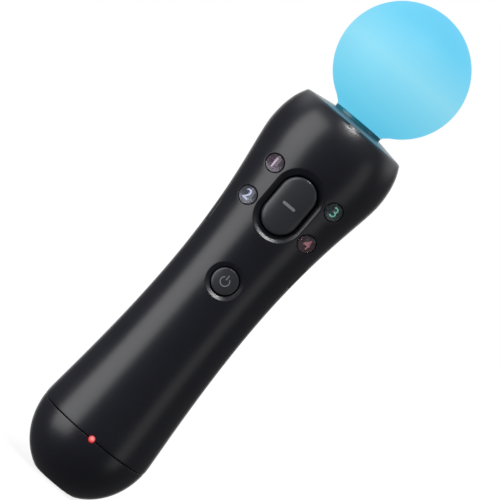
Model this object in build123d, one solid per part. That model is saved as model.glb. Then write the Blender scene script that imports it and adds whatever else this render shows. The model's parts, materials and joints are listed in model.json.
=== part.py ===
from build123d import *
import math
import os

# A motion controller wand: a round waisted handle that carries a soft light ball on its head.
# Lengths are millimetres. The origin is the centre of the flat at the tail, +Z runs up to the
# ball, and the buttons face -Y. Depths are y values, and heights are z values.

# Handle outline, from the tail's flat up to the rim under the ball
TAIL_FLAT_RADIUS = 8.4
TAIL_RADIUS = 21.05
TAIL_HEIGHT = 22.0
WAIST_RADIUS = 17.63
WAIST_HEIGHT = 80.0
HEAD_RADIUS = 23.0
HEAD_HEIGHT = 138.3
RIM_RADIUS = 19.9
RIM_HEIGHT = 152.8
RIM_ROUND = 0.8
WALL = 2.0

# How far each curve of the outline runs straight before it bends, as shares of its own span
TAIL_DOME_SHARE = 0.545
FLAT_SPREAD_SHARE = 0.46
FLAT_RISE_SHARE = 0.118
CORNER_SHARE = 0.25
TAIL_NECK_SHARE = 0.055
WAIST_DROP_SHARE = 0.47
WAIST_RISE_SHARE = 0.583
HEAD_FALL_SHARE = 0.135
HEAD_CLIMB_SHARE = 0.5
RIM_SPREAD_SHARE = 0.52
RIM_FALL_SHARE = 0.19

# Joints between mouldings
PARTING_HEIGHT = 20.4
PARTING_GAP = 0.35
SEAM_GAP = 0.16
FIT = 0.15
RUNNING_FIT = 0.05
SEAT = 0.1
GUIDE_CLEARANCE = 0.3
OVERRUN = 10.0

# Cap of the tail
SPIGOT_RISE = 4.6
SPIGOT_DEPTH = 3.6
SPIGOT_WALL = 1.5
EAR_THICKNESS = 1.4
EAR_RISE = 12.8
EAR_INNER = 7.8

# Case screws, which run from the back into bosses of the front shell
SCREW_HEIGHTS = {"lower": 29.6, "middle": 95.0, "upper": 143.0}
SCREW_SPREADS = {"lower": 22.0, "middle": 18.0, "upper": 26.0}
BOSS_MEET = 1.0
BOSS_RADIUS = 3.1
BOSS_TIP_RADIUS = 2.5
SCREW_RADIUS = 1.0
SCREW_HOLE_RADIUS = 1.2
SCREW_HEAD_RADIUS = 1.9
SCREW_HEAD_HEIGHT = 1.5
SCREW_SEAT = 6.0
SCREW_LENGTH = 11.0
DRIVE_REACH_SHARE = 0.6
DRIVE_WIDTH = 0.55
DRIVE_DEPTH = 0.8
COUNTERBORE_RADIUS = 2.15

# Shoulder plate under the ball
PLATE_THICKNESS = 1.6
PLATE_LIP = 0.9
PLATE_RISE = 1.9
PLATE_STAND = 0.1
TAB_WIDTH = 4.2
TAB_HEIGHT = 1.1
TAB_SETBACK = 0.25
TAB_SLOPE = 0.7

# Ball, and the socket that holds it
BALL_RADIUS = 22.8
BALL_HEIGHT = 177.2
BALL_WALL = 1.8
NECK_RADIUS = 9.55
NECK_FILLET = 1.2
SPIGOT_RADIUS = 8.5
BALL_BORE = 7.1
BALL_SPIGOT_LENGTH = 4.4
SOCKET_RADIUS = 9.3
SOCKET_STAND = 0.65
SOCKET_FLANGE = 12.4
SOCKET_FLANGE_THICKNESS = 1.2

# Lamp board and light guide
LAMP_BOARD_RADIUS = 12.6
LAMP_BOARD_THICKNESS = 1.2
LAMP_WIDTH = 5.0
LAMP_HEIGHT = 1.6
LAMP_LENS_RADIUS = 2.0
GUIDE_RADIUS = 6.5
GUIDE_WALL = 1.3
GUIDE_HEIGHT = 8.0
PLATE_SCREW_CIRCLE = 11.0
PLATE_SCREW_COUNT = 3
PLATE_SCREW_RADIUS = 0.7
PLATE_SCREW_HEAD_RADIUS = 1.35
PLATE_SCREW_HEAD = 0.9
PLATE_SCREW_GRIP = 1.3

# Main board, with the dome mat on its front
BOARD_FRONT = -6.0
BOARD_THICKNESS = 1.2
BOARD_TOP = 138.0
BOARD_CLEARANCE = 0.6
BOARD_BOTTOM = 56.0
BOARD_WIDE = 31.0
BOARD_NARROW = 25.6
BOARD_CORNER = 2.0
MAT_THICKNESS = 0.6
DOME_HEIGHT = 2.4
DOME_BASE_RADIUS = 2.6
DOME_TOP_RADIUS = 1.6
MAT_MARGIN = 2.9

# Action button in the middle, in its dished well
ACTION_HEIGHT = 119.6
ACTION_LENGTH = 21.0
ACTION_WIDTH = 12.7
ACTION_GAP = 0.45
ACTION_PROUD = 0.35
ACTION_ROUND = 0.6
WELL_OUT = 2.2
WELL_DEEP = 1.5
WELL_PAD = 1.4
WELL_FLOOR = 3.4
BUTTON_SKIN = 1.5
FLANGE_MARGIN = 0.9
PLUNGER_RADIUS = 2.0

# Four round face buttons, two each side of the action button
FACE_SPREAD = 25.0
FACE_HEIGHTS = {"lower": 113.7, "upper": 127.3}
FACE_DIAMETER = 5.9
FACE_GAP = 0.28
FACE_PROUD = 0.75
FACE_ROUND = 0.7
FACE_CAP = 1.5
FACE_LIP = 0.25
SKIRT_MARGIN = 0.65

# Home button, lower on the front
HOME_HEIGHT = 87.4
HOME_DIAMETER = 9.2
HOME_GAP = 0.3
HOME_SUNK = 0.15
HOME_ROUND = 0.45
HOME_WELL_OUT = 1.5
HOME_WELL_DEEP = 0.9
HOME_PAD = 0.9
HOME_FLOOR = 2.8

# Side buttons, one at each side of the front shell
SIDE_HEIGHT = 103.0
SIDE_DEPTH = -4.3
SIDE_LENGTH = 8.6
SIDE_WIDTH = 3.0
SIDE_GAP = 0.25
SIDE_PROUD = 0.35
SIDE_ROUND = 0.35
SIDE_FLANGE = 0.8
SIDE_INNER = 14.3
SIDE_TRAVEL = 0.5
SIDE_SWITCH_DEPTH = 3.0
SIDE_SWITCH_LENGTH = 5.0
SIDE_SWITCH_HEIGHT = 2.2
SIDE_NUB_RADIUS = 0.7
SIDE_NUB_LENGTH = 0.6

# Trigger at the back of the head
PIVOT_DEPTH = 16.5
PIVOT_HEIGHT = 142.5
PIN_RADIUS = 1.2
TRIGGER_WIDTH = 16.0
TRIGGER_WALL = 1.8
TRIGGER_REACH = 36.5
TRIGGER_LIP_DEPTH = 28.0
TRIGGER_BACK_DEPTH = 12.4
TRIGGER_ROUND = 2.4
LIP_ROUND = 1.4
KNUCKLE_RADIUS = 5.3
TRIGGER_GAP = 0.4
CATCH_LOW = 1.4
CATCH_HEIGHT = 4.0
CATCH_REACH = 1.5
CATCH_DEPTH = 2.4
TRIGGER_FALL_SHARE = 0.42
TRIGGER_FLARE_SHARE = 0.25
TRIGGER_FLARE_DEPTH_SHARE = 0.1
EAR_BOSS_RADIUS = 3.0
EAR_BOSS_WIDTH = 2.2
SHELF_THICKNESS = 1.8
SHELF_INNER = 13.0
COIL_RADIUS = 3.1
WIRE_RADIUS = 0.3
COIL_PITCH = 1.1
COIL_TURNS = 4
LEG_TURN_SHARE = 0.25
SPRING_LEG_DOWN = 9.0
SPRING_LEG_IN = 3.6
STOP_WIDTH = 2.8
PADDLE_WIDTH = 2.4
PADDLE_HEIGHT = 4.0
PADDLE_DROP = 10.5
PADDLE_DEPTH = 8.5
PAD_LENGTH = 4.0
PAD_RADIUS = 1.8
TRIGGER_BOARD_WIDTH = 12.0
TRIGGER_BOARD_HEIGHT = 14.0
TRIGGER_BOARD_THICKNESS = 1.2

# Inner frame and the battery that it holds
FRAME_FRONT = -2.6
FRAME_THICKNESS = 1.2
FRAME_TOP = 138.0
FRAME_BOTTOM = 22.6
FRAME_WIDTH = 24.4
FRAME_UPPER_WIDTH = 15.0
FRAME_LOWER_WIDTH = 15.0
FRAME_POST_RADIUS = 1.4
BATTERY_WIDTH = 22.0
BATTERY_THICKNESS = 11.0
BATTERY_BOTTOM = 38.5
BATTERY_LENGTH = 49.0
BATTERY_ROUND = 2.0
TRAY_WALL = 1.0
TRAY_DEPTH = 7.0
RIB_THICKNESS = 1.4
RIB_HEIGHTS = (52.0, 74.0)

# Rumble motor below the battery
MOTOR_DEPTH = 4.6
MOTOR_RADIUS = 5.2
MOTOR_TOP = 36.4
MOTOR_LENGTH = 10.4
MOTOR_NECK_RADIUS = 2.0
MOTOR_NECK_LENGTH = 0.8
SHAFT_RADIUS = 0.75
WEIGHT_RADIUS = 4.9
WEIGHT_LENGTH = 4.0
WEIGHT_HUB_RADIUS = 1.9
WEIGHT_GAP = 0.4
CRADLE_WALL = 1.3
CRADLE_LENGTH = 6.0

# Tail board and the sockets of the tail
TAIL_BOARD_HEIGHT = 11.6
TAIL_BOARD_THICKNESS = 1.2
TAIL_BOARD_RADIUS = 13.4
POST_RADIUS = 1.9
POST_SPREAD = 18.6
POST_DEPTH = 1.0
SOCKET_MOUTH = 0.4
USB_WIDTH = 7.7
USB_THICKNESS = 3.9
USB_DEPTH = 3.9
USB_SHELL = 0.4
USB_CHAMFER = 1.0
USB_TONGUE = 1.2
USB_TONGUE_WIDTH = 4.6
PORT_WIDTH = 11.6
PORT_THICKNESS = 4.2
PORT_DEPTH = -3.9
PORT_SHELL = 0.6
PORT_CORNER = 0.9
PORT_FLOOR = 6.0
PORT_BLADES = 6
PORT_BLADE_PITCH = 1.5
PORT_BLADE_WIDTH = 0.6
PORT_BLADE_THICKNESS = 0.5
TAIL_SCREW_LENGTH = 3.6
CONTACT_SPREAD = 23.0
CONTACT_THICKNESS = 1.6
CONTACT_WIDTH = 4.6

# Strap bar in its pocket at the back of the tail
STRAP_WIDTH = 8.0
STRAP_LOW = 3.6
STRAP_HIGH = 10.2
STRAP_DEEP = 10.9
STRAP_WALL = 1.2
STRAP_BAR_RADIUS = 1.0
STRAP_BAR_DEPTH = 14.2
STRAP_BAR_HEIGHT = 7.2

# Reset button above the pocket, and the status light at the front
RESET_HEIGHT = 15.0
RESET_RADIUS = 0.9
RESET_PIN_RADIUS = 0.75
RESET_SUNK = 0.9
RESET_TRAVEL = 0.4
RESET_COLLAR_RADIUS = 1.4
RESET_COLLAR = 0.8
RESET_SWITCH_WIDTH = 4.0
RESET_SWITCH_LENGTH = 3.0
RESET_SWITCH_FACE = 12.4
RESET_NUB_LENGTH = 0.5
LIGHT_RADIUS = 1.15
LIGHT_PIPE_BACK = -12.2
LIGHT_LAMP_WIDTH = 1.6
LIGHT_LAMP_HEIGHT = 0.7

# Chips on the back of the main board: width, length, height, and their places
CHIP_HEIGHT = 1.1
PROCESSOR_SIZE = 9.0
PROCESSOR_HEIGHT = 117.0
SENSOR_SIZE = 4.0
SENSOR_SPREAD = 18.0
SENSOR_HEIGHT = 124.0
MEMORY_WIDTH = 5.0
MEMORY_LENGTH = 6.0
MEMORY_HEIGHT = 129.0
RADIO_WIDTH = 13.0
RADIO_LENGTH = 15.0
RADIO_THICKNESS = 1.7
RADIO_HEIGHT = 70.0
RADIO_ROUND = 0.8


def outline_curves(inset=0.0):
    """Control points (radius, height) of the four curves of the handle's side, moved in by inset."""
    flat = (TAIL_FLAT_RADIUS - inset * CORNER_SHARE, inset)
    tail = (TAIL_RADIUS - inset, TAIL_HEIGHT)
    waist = (WAIST_RADIUS - inset, WAIST_HEIGHT)
    head = (HEAD_RADIUS - inset, HEAD_HEIGHT)
    rim = (RIM_RADIUS - inset, RIM_HEIGHT - RIM_ROUND)
    tail_span = tail[1] - flat[1]
    lower_span = waist[1] - tail[1]
    upper_span = head[1] - waist[1]
    rim_span = rim[1] - head[1]
    dome = [
        flat,
        (flat[0] + (tail[0] - flat[0]) * FLAT_SPREAD_SHARE, flat[1] + tail_span * FLAT_RISE_SHARE),
        (tail[0], tail[1] - tail_span * TAIL_DOME_SHARE),
        tail,
    ]
    grip = [
        tail,
        (tail[0], tail[1] + lower_span * TAIL_NECK_SHARE),
        (waist[0], waist[1] - lower_span * WAIST_DROP_SHARE),
        waist,
    ]
    flare = [
        waist,
        (waist[0], waist[1] + upper_span * WAIST_RISE_SHARE),
        (head[0], head[1] - upper_span * HEAD_FALL_SHARE),
        head,
    ]
    crown = [
        head,
        (head[0], head[1] + rim_span * HEAD_CLIMB_SHARE),
        (rim[0] + (head[0] - rim[0]) * RIM_SPREAD_SHARE, rim[1] - rim_span * RIM_FALL_SHARE),
        rim,
    ]
    return [dome, grip, flare, crown]


def skin_radius(height, inset=0.0):
    """Radius of the handle's side at a height, found by halving along the curve that holds it."""
    for points in outline_curves(inset):
        if height <= points[-1][1]:
            break
    low, high = 0.0, 1.0
    for _ in range(40):
        middle = (low + high) / 2
        level = list(points)
        while len(level) > 1:
            level = [
                tuple(a + (b - a) * middle for a, b in zip(start, end))
                for start, end in zip(level, level[1:])
            ]
        if level[0][1] < height:
            low = middle
        else:
            high = middle
    return level[0][0]


def skin_depth(height, across, inset=0.0):
    """Distance of the handle's side from the plane y = 0, at a height and a place across it."""
    return math.sqrt(skin_radius(height, inset) ** 2 - across**2)


def handle_solid(inset=0.0):
    """The whole handle as one solid of revolution, moved in by inset."""
    curves = outline_curves(inset)
    edges = [Bezier(*[(radius, 0, height) for radius, height in points]) for points in curves]
    flat, rim = curves[0][0], curves[-1][-1]
    corner = (rim[0] - RIM_ROUND * (1 - math.sqrt(0.5)), rim[1] + RIM_ROUND * math.sqrt(0.5))
    rounding = ThreePointArc(
        (rim[0], 0, rim[1]), (corner[0], 0, corner[1]), (rim[0] - RIM_ROUND, 0, RIM_HEIGHT)
    )
    closing = Polyline(
        (rim[0] - RIM_ROUND, 0, RIM_HEIGHT), (0, 0, RIM_HEIGHT), (0, 0, flat[1]), (flat[0], 0, flat[1])
    )
    return revolve(make_face([*edges, rounding, *closing.edges()]), Axis.Z)


def block(x, y, z):
    """Box between the lowest and highest value along each axis."""
    sides = [high - low for low, high in (x, y, z)]
    centre = [(high + low) / 2 for low, high in (x, y, z)]
    return Pos(*centre) * Box(*sides)


def rod(start, end, radius):
    """Round bar between two points."""
    run = Vector(*end) - Vector(*start)
    return extrude(Plane(origin=start, z_dir=run) * Circle(radius), amount=run.length)


def from_front(sketch, back, front):
    """Outline as seen from the front, carried from the depth back to the depth front."""
    return extrude(Plane.XZ.offset(-back) * sketch, amount=back - front)


def from_side(sketch, start, end):
    """Outline as seen along X, its own axes being Y and Z, carried from x = start to x = end."""
    return extrude(Plane.YZ.offset(start) * sketch, amount=end - start)


def from_below(sketch, low, high):
    """Outline in plan, carried from height low to height high."""
    return extrude(Plane.XY.offset(low) * sketch, amount=high - low)


def side_view(*points):
    """Points given as (depth, height), as 3D points of the plane x = 0."""
    return [(0, depth, height) for depth, height in points]


def action_outline(margin=0.0):
    """Outline of the action button, grown by margin."""
    length, width = ACTION_LENGTH + 2 * margin, ACTION_WIDTH + 2 * margin
    return Pos(0, ACTION_HEIGHT) * SlotOverall(length, width, rotation=90)


def home_outline(margin=0.0):
    """Outline of the home button, grown by margin."""
    return Pos(0, HOME_HEIGHT) * Circle(HOME_DIAMETER / 2 + margin)


def face_places():
    """Name and place (across, height) of each round face button."""
    sides = {"left": -FACE_SPREAD / 2, "right": FACE_SPREAD / 2}
    return {
        f"{row}_{side}": (across, height)
        for row, height in FACE_HEIGHTS.items()
        for side, across in sides.items()
    }


def face_outline(place, margin=0.0):
    """Outline of a round face button, grown by margin."""
    return Pos(*place) * Circle(FACE_DIAMETER / 2 + margin)


def side_outline(margin=0.0):
    """Outline of a side button, in depth and height, grown by margin."""
    length, width = SIDE_LENGTH + 2 * margin, SIDE_WIDTH + 2 * margin
    return Pos(SIDE_DEPTH, SIDE_HEIGHT) * SlotOverall(length, width, rotation=90)


def screw_places(row):
    """Places (across, height) of the pair of case screws of one row."""
    return [(side * SCREW_SPREADS[row] / 2, SCREW_HEIGHTS[row]) for side in (-1, 1)]


def mouth_edges(solid, outline, clearance, inset=0.0):
    """Edges where a hole with this outline, seen from the front, meets the handle's side."""
    around = outline.bounding_box()
    found = []
    for edge in solid.edges():
        at = edge.position_at(0.5)
        across_inside = around.min.X - clearance < at.X < around.max.X + clearance
        height_inside = around.min.Y - clearance < at.Z < around.max.Y + clearance
        if not (across_inside and height_inside and at.Y < 0):
            continue
        if abs(math.hypot(at.X, at.Y) - skin_radius(at.Z, inset)) < clearance:
            found.append(edge)
    return found


def half(front):
    """Space in front of the seam between the shells, or behind it."""
    near = -HEAD_RADIUS - OVERRUN if front else SEAM_GAP / 2
    far = -SEAM_GAP / 2 if front else HEAD_RADIUS + OVERRUN
    across = (-HEAD_RADIUS - OVERRUN, HEAD_RADIUS + OVERRUN)
    return block(across, (near, far), (PARTING_HEIGHT + PARTING_GAP / 2, RIM_HEIGHT + OVERRUN))


def plate_seat():
    """Round rebate in the head that the shoulder plate drops into."""
    radius = RIM_RADIUS - PLATE_LIP
    return rod((0, 0, RIM_HEIGHT - PLATE_THICKNESS), (0, 0, RIM_HEIGHT + OVERRUN), radius)


def status_hole():
    """Hole for the status light, through the front of the tail."""
    start = (0, -TAIL_RADIUS - OVERRUN, PARTING_HEIGHT)
    end = (0, WALL + SPIGOT_WALL + LIGHT_RADIUS - TAIL_RADIUS, PARTING_HEIGHT)
    return rod(start, end, LIGHT_RADIUS + FIT)


def front_shell():
    """Front half of the housing, with the wells and holes of the buttons and the screw bosses."""
    whole = handle_solid()
    shell = (whole - handle_solid(WALL)) & half(front=True)
    middle = BOARD_FRONT - DOME_HEIGHT
    well = from_front(action_outline(WELL_PAD), middle, -HEAD_RADIUS)
    shell += well & whole - handle_solid(WELL_FLOOR)
    home_well = from_front(home_outline(HOME_PAD), middle, -HEAD_RADIUS)
    shell += home_well & whole - handle_solid(HOME_FLOOR)
    shell += front_bosses() & handle_solid(WALL / 2)
    shell -= from_front(action_outline(ACTION_GAP), BOARD_FRONT, -HEAD_RADIUS - OVERRUN)
    shell -= from_front(home_outline(HOME_GAP), BOARD_FRONT, -HEAD_RADIUS - OVERRUN)
    shell = chamfer(mouth_edges(shell, action_outline(ACTION_GAP), FIT), WELL_DEEP, WELL_OUT)
    shell = chamfer(mouth_edges(shell, home_outline(HOME_GAP), FIT), HOME_WELL_DEEP, HOME_WELL_OUT)
    for place in face_places().values():
        shell -= from_front(face_outline(place, FACE_GAP), BOARD_FRONT, -HEAD_RADIUS - OVERRUN)
        shell = chamfer(mouth_edges(shell, face_outline(place, FACE_GAP), FIT), FACE_LIP)
    for start, end in ((-HEAD_RADIUS, -WAIST_RADIUS / 2), (WAIST_RADIUS / 2, HEAD_RADIUS)):
        shell -= from_side(side_outline(SIDE_GAP), start, end)
    shell -= plate_seat() + tab_notch(FIT) + status_hole()
    return shell


def front_bosses():
    """Screw bosses of the front shell, each stepped where a board rests on it, with its pilot hole."""
    bosses, pilots = [], []
    for row in SCREW_HEIGHTS:
        for across, height in screw_places(row):
            root = -skin_depth(height, across, WALL / 2)
            bosses.append(rod((across, root, height), (across, BOARD_FRONT, height), BOSS_RADIUS))
            bosses.append(rod((across, root, height), (across, BOSS_MEET, height), BOSS_TIP_RADIUS))
            deep = SCREW_SEAT - SCREW_LENGTH - SEAT
            pilots.append(rod((across, deep, height), (across, BOSS_MEET, height), SCREW_RADIUS))
    return Part() + bosses - pilots


def rear_shell():
    """Back half of the housing, with the trigger's slot and ears, screw wells and battery ribs."""
    whole = handle_solid()
    shell = (whole - handle_solid(WALL)) & half(front=False)
    inside = handle_solid(WALL / 2)
    shell += rear_bosses() & inside
    shell += battery_ribs() & inside
    shell += trigger_ears() & inside
    shell += spring_shelf() & inside
    shell -= screw_wells()
    shell -= trigger_slot()
    pin_reach = TRIGGER_WIDTH / 2 + TRIGGER_GAP + EAR_BOSS_WIDTH
    shell -= rod(
        (-pin_reach - SEAT, PIVOT_DEPTH, PIVOT_HEIGHT),
        (pin_reach + SEAT, PIVOT_DEPTH, PIVOT_HEIGHT),
        PIN_RADIUS + RUNNING_FIT,
    )
    shell -= plate_seat()
    return shell


def rear_bosses():
    """Columns that reach from the back wall to the bosses of the front shell."""
    bosses = []
    for row in SCREW_HEIGHTS:
        meet = BOSS_MEET + (EAR_THICKNESS + SEAT if row == "lower" else 0)
        for across, height in screw_places(row):
            root = skin_depth(height, across, WALL / 2)
            bosses.append(rod((across, meet, height), (across, root, height), BOSS_RADIUS))
    return Part() + bosses


def screw_wells():
    """Holes of the case screws: a wide well down to the head, and a narrow hole past it."""
    wells = []
    for row in SCREW_HEIGHTS:
        for across, height in screw_places(row):
            outside = (across, HEAD_RADIUS + OVERRUN, height)
            wells.append(rod((across, SCREW_SEAT, height), outside, COUNTERBORE_RADIUS))
            wells.append(rod((across, 0, height), outside, SCREW_HOLE_RADIUS))
    return Part() + wells


def battery_back():
    """Depth of the battery's back face."""
    return FRAME_FRONT + FRAME_THICKNESS + SEAT + BATTERY_THICKNESS


def battery_ribs():
    """Ribs that press the battery on to its frame."""
    across = (-BATTERY_WIDTH / 2, BATTERY_WIDTH / 2)
    depth = (battery_back() + SEAT, HEAD_RADIUS)
    ribs = [
        block(across, depth, (height - RIB_THICKNESS / 2, height + RIB_THICKNESS / 2))
        for height in RIB_HEIGHTS
    ]
    return Part() + ribs


def slot_floor():
    """Height of the lower edge of the trigger's slot."""
    return PIVOT_HEIGHT - TRIGGER_REACH - TRIGGER_GAP


def trigger_slot():
    """Opening in the back wall that the trigger swings through."""
    across = TRIGGER_WIDTH / 2 + TRIGGER_GAP
    top = PIVOT_HEIGHT + KNUCKLE_RADIUS + TRIGGER_GAP
    deep = PIVOT_DEPTH - KNUCKLE_RADIUS
    return block((-across, across), (deep, HEAD_RADIUS + OVERRUN), (slot_floor(), top))


def trigger_ears():
    """Bosses at both sides of the slot that hold the ends of the pivot pin."""
    near = TRIGGER_WIDTH / 2 + TRIGGER_GAP
    ears = []
    for side in (-1, 1):
        ends = sorted((side * near, side * (near + EAR_BOSS_WIDTH)))
        ears.append(
            rod((ends[0], PIVOT_DEPTH, PIVOT_HEIGHT), (ends[1], PIVOT_DEPTH, PIVOT_HEIGHT), EAR_BOSS_RADIUS)
        )
        height = (PIVOT_HEIGHT - EAR_BOSS_RADIUS, PIVOT_HEIGHT + EAR_BOSS_RADIUS)
        ears.append(block(ends, (PIVOT_DEPTH, HEAD_RADIUS), height))
    return Part() + ears


def spring_shelf():
    """Shelf above the trigger's knuckle, with the stop that the spring's upper leg pushes against."""
    low = PIVOT_HEIGHT + KNUCKLE_RADIUS + TRIGGER_GAP + SEAT
    across = TRIGGER_WIDTH / 2 + TRIGGER_GAP + EAR_BOSS_WIDTH
    shelf = block((-across, across), (SHELF_INNER, HEAD_RADIUS), (low, low + SHELF_THICKNESS))
    leg_top = PIVOT_HEIGHT + COIL_RADIUS + WIRE_RADIUS
    middle = COIL_PITCH * coil_turns() / 2
    stop = block(
        (middle - STOP_WIDTH / 2, middle + STOP_WIDTH / 2),
        (SHELF_INNER, SHELF_INNER + RIB_THICKNESS),
        (leg_top + SEAT, low + SHELF_THICKNESS),
    )
    return shelf + stop


def tail_cap():
    """Rounded cap of the tail, with its spigot, screw ears, strap pocket and openings."""
    reach = HEAD_RADIUS + OVERRUN
    below = block((-reach, reach), (-reach, reach), (-OVERRUN, PARTING_HEIGHT - PARTING_GAP / 2))
    cap = (handle_solid() - handle_solid(WALL)) & below
    low = PARTING_HEIGHT - SPIGOT_DEPTH
    band = block((-reach, reach), (-reach, reach), (low, PARTING_HEIGHT + SPIGOT_RISE))
    spigot = handle_solid(WALL + FIT) - handle_solid(WALL + FIT + SPIGOT_WALL)
    cap += spigot & band
    root = handle_solid(WALL / 2) - handle_solid(WALL + FIT + SPIGOT_WALL)
    cap += root & band & below
    cap += cap_ears() & handle_solid(WALL + FIT)
    cap += board_posts() & handle_solid(WALL / 2)
    cap += strap_pocket_walls() & handle_solid(WALL / 2)
    cap -= block(*strap_pocket_sides(0))
    cap -= rod(*strap_bar_ends(SEAT), STRAP_BAR_RADIUS + RUNNING_FIT)
    cap -= from_below(usb_outline(FIT), -OVERRUN, TAIL_BOARD_HEIGHT)
    cap -= from_below(port_outline(FIT), -OVERRUN, TAIL_BOARD_HEIGHT)
    for side in (-1, 1):
        cap -= contact_strip(side, FIT)
    for across, height in screw_places("lower"):
        cap -= rod((across, 0, height), (across, SCREW_SEAT, height), SCREW_HOLE_RADIUS)
    hole_end = (0, TAIL_RADIUS + OVERRUN, RESET_HEIGHT)
    cap -= rod((0, RESET_SWITCH_FACE, RESET_HEIGHT), hole_end, RESET_RADIUS)
    cap -= status_hole()
    return cap


def cap_ears():
    """Two ears that rise from the cap and are caught between the screw bosses of the shells."""
    depth = (BOSS_MEET + SEAT / 2, BOSS_MEET + SEAT / 2 + EAR_THICKNESS)
    height = (PARTING_HEIGHT - SPIGOT_DEPTH, PARTING_HEIGHT + EAR_RISE)
    ears = [
        block(sorted((side * EAR_INNER, side * TAIL_RADIUS)), depth, height) for side in (-1, 1)
    ]
    return Part() + ears


def post_places():
    """Places of the two posts that carry the tail board."""
    return [(side * POST_SPREAD / 2, POST_DEPTH) for side in (-1, 1)]


def board_posts():
    """Posts of the cap that carry the tail board, each with its pilot hole."""
    pilot = TAIL_BOARD_HEIGHT + TAIL_BOARD_THICKNESS - TAIL_SCREW_LENGTH - SEAT
    posts = [
        rod((across, depth, 0), (across, depth, TAIL_BOARD_HEIGHT), POST_RADIUS)
        - rod((across, depth, pilot), (across, depth, TAIL_BOARD_HEIGHT), PLATE_SCREW_RADIUS)
        for across, depth in post_places()
    ]
    return Part() + posts


def strap_pocket_sides(margin):
    """Limits of the strap pocket along X, Y and Z, grown by margin but open at the back."""
    across = STRAP_WIDTH / 2 + margin
    depth = (STRAP_DEEP - margin, HEAD_RADIUS + OVERRUN)
    return (-across, across), depth, (STRAP_LOW - margin, STRAP_HIGH + margin)


def strap_pocket_walls():
    """Walls round the strap pocket."""
    return block(*strap_pocket_sides(STRAP_WALL))


def strap_bar_ends(clearance=0.0):
    """Ends of the strap bar, which stands in the side walls of its pocket."""
    reach = STRAP_WIDTH / 2 + STRAP_WALL / 2 + clearance
    return [(side * reach, STRAP_BAR_DEPTH, STRAP_BAR_HEIGHT) for side in (-1, 1)]


def strap_bar():
    """Steel bar that a wrist strap is looped round."""
    return rod(*strap_bar_ends(), STRAP_BAR_RADIUS)


def tab_notch(clearance=0.0):
    """Notch at the front of the rim, which shows where the ball's plate is keyed."""
    across = TAB_WIDTH / 2 + clearance
    low = RIM_HEIGHT - TAB_HEIGHT - clearance
    return block((-across, across), (-HEAD_RADIUS, -RIM_RADIUS / 2), (low, RIM_HEIGHT + OVERRUN))


def shoulder_plate():
    """Shallow cone that closes the head round the ball's neck, keyed by a tab at the front."""
    outer = RIM_RADIUS - PLATE_LIP - FIT
    low, edge = RIM_HEIGHT - PLATE_THICKNESS, RIM_HEIGHT + PLATE_STAND
    top = edge + PLATE_RISE
    bore = SOCKET_RADIUS + FIT
    section = Polyline(
        (bore, 0, low), (outer, 0, low), (outer, 0, edge), (bore, 0, top), (bore, 0, low)
    )
    plate = revolve(make_face(section), Axis.Z)
    tab_end = rod((0, 0, low), (0, 0, edge), RIM_RADIUS - TAB_SETBACK)
    tab_end = chamfer(tab_end.edges().group_by(Axis.Z)[-1], TAB_SLOPE)
    plate += tab_end & tab_notch() - rod((0, 0, low), (0, 0, edge), RIM_RADIUS / 2)
    for x, y in plate_screw_places():
        plate -= rod((x, y, low), (x, y, low + PLATE_SCREW_GRIP + SEAT), PLATE_SCREW_RADIUS)
    return plate


def plate_screw_places():
    """Places of the small screws that hold the lamp board and the socket under the plate."""
    return [
        (
            PLATE_SCREW_CIRCLE * math.sin(math.tau * turn / PLATE_SCREW_COUNT),
            PLATE_SCREW_CIRCLE * math.cos(math.tau * turn / PLATE_SCREW_COUNT),
        )
        for turn in range(PLATE_SCREW_COUNT)
    ]


def flange_top():
    """Height of the socket flange's upper face, which lies under the plate."""
    return RIM_HEIGHT - PLATE_THICKNESS


def lamp_board_top():
    """Height of the lamp board's upper face, which lies under the socket flange."""
    return flange_top() - SOCKET_FLANGE_THICKNESS


def socket_top():
    """Height of the socket's upper edge, where the ball's neck sits down on it."""
    return RIM_HEIGHT + PLATE_STAND + PLATE_RISE + SOCKET_STAND


def ball_socket():
    """Ring that stands out of the plate and holds the ball's spigot."""
    base = rod((0, 0, lamp_board_top()), (0, 0, flange_top()), SOCKET_FLANGE)
    wall = rod((0, 0, lamp_board_top()), (0, 0, socket_top()), SOCKET_RADIUS)
    bore = rod((0, 0, lamp_board_top()), (0, 0, socket_top()), SPIGOT_RADIUS + FIT)
    ring = base + wall - bore
    for x, y in plate_screw_places():
        ring -= rod((x, y, lamp_board_top()), (x, y, flange_top()), PLATE_SCREW_RADIUS + FIT)
    return ring


def light_ball():
    """Hollow soft ball with a neck that steps down to the spigot in the socket."""
    neck_low = socket_top()
    spigot_low = neck_low - BALL_SPIGOT_LENGTH
    outside = revolve(ball_section(BALL_RADIUS, NECK_RADIUS, neck_low), Axis.Z)
    outside += rod((0, 0, spigot_low), (0, 0, neck_low + SEAT), SPIGOT_RADIUS)
    inside = Pos(0, 0, BALL_HEIGHT) * Sphere(BALL_RADIUS - BALL_WALL)
    inside += rod((0, 0, spigot_low), (0, 0, BALL_HEIGHT), BALL_BORE)
    return outside - inside


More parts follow.
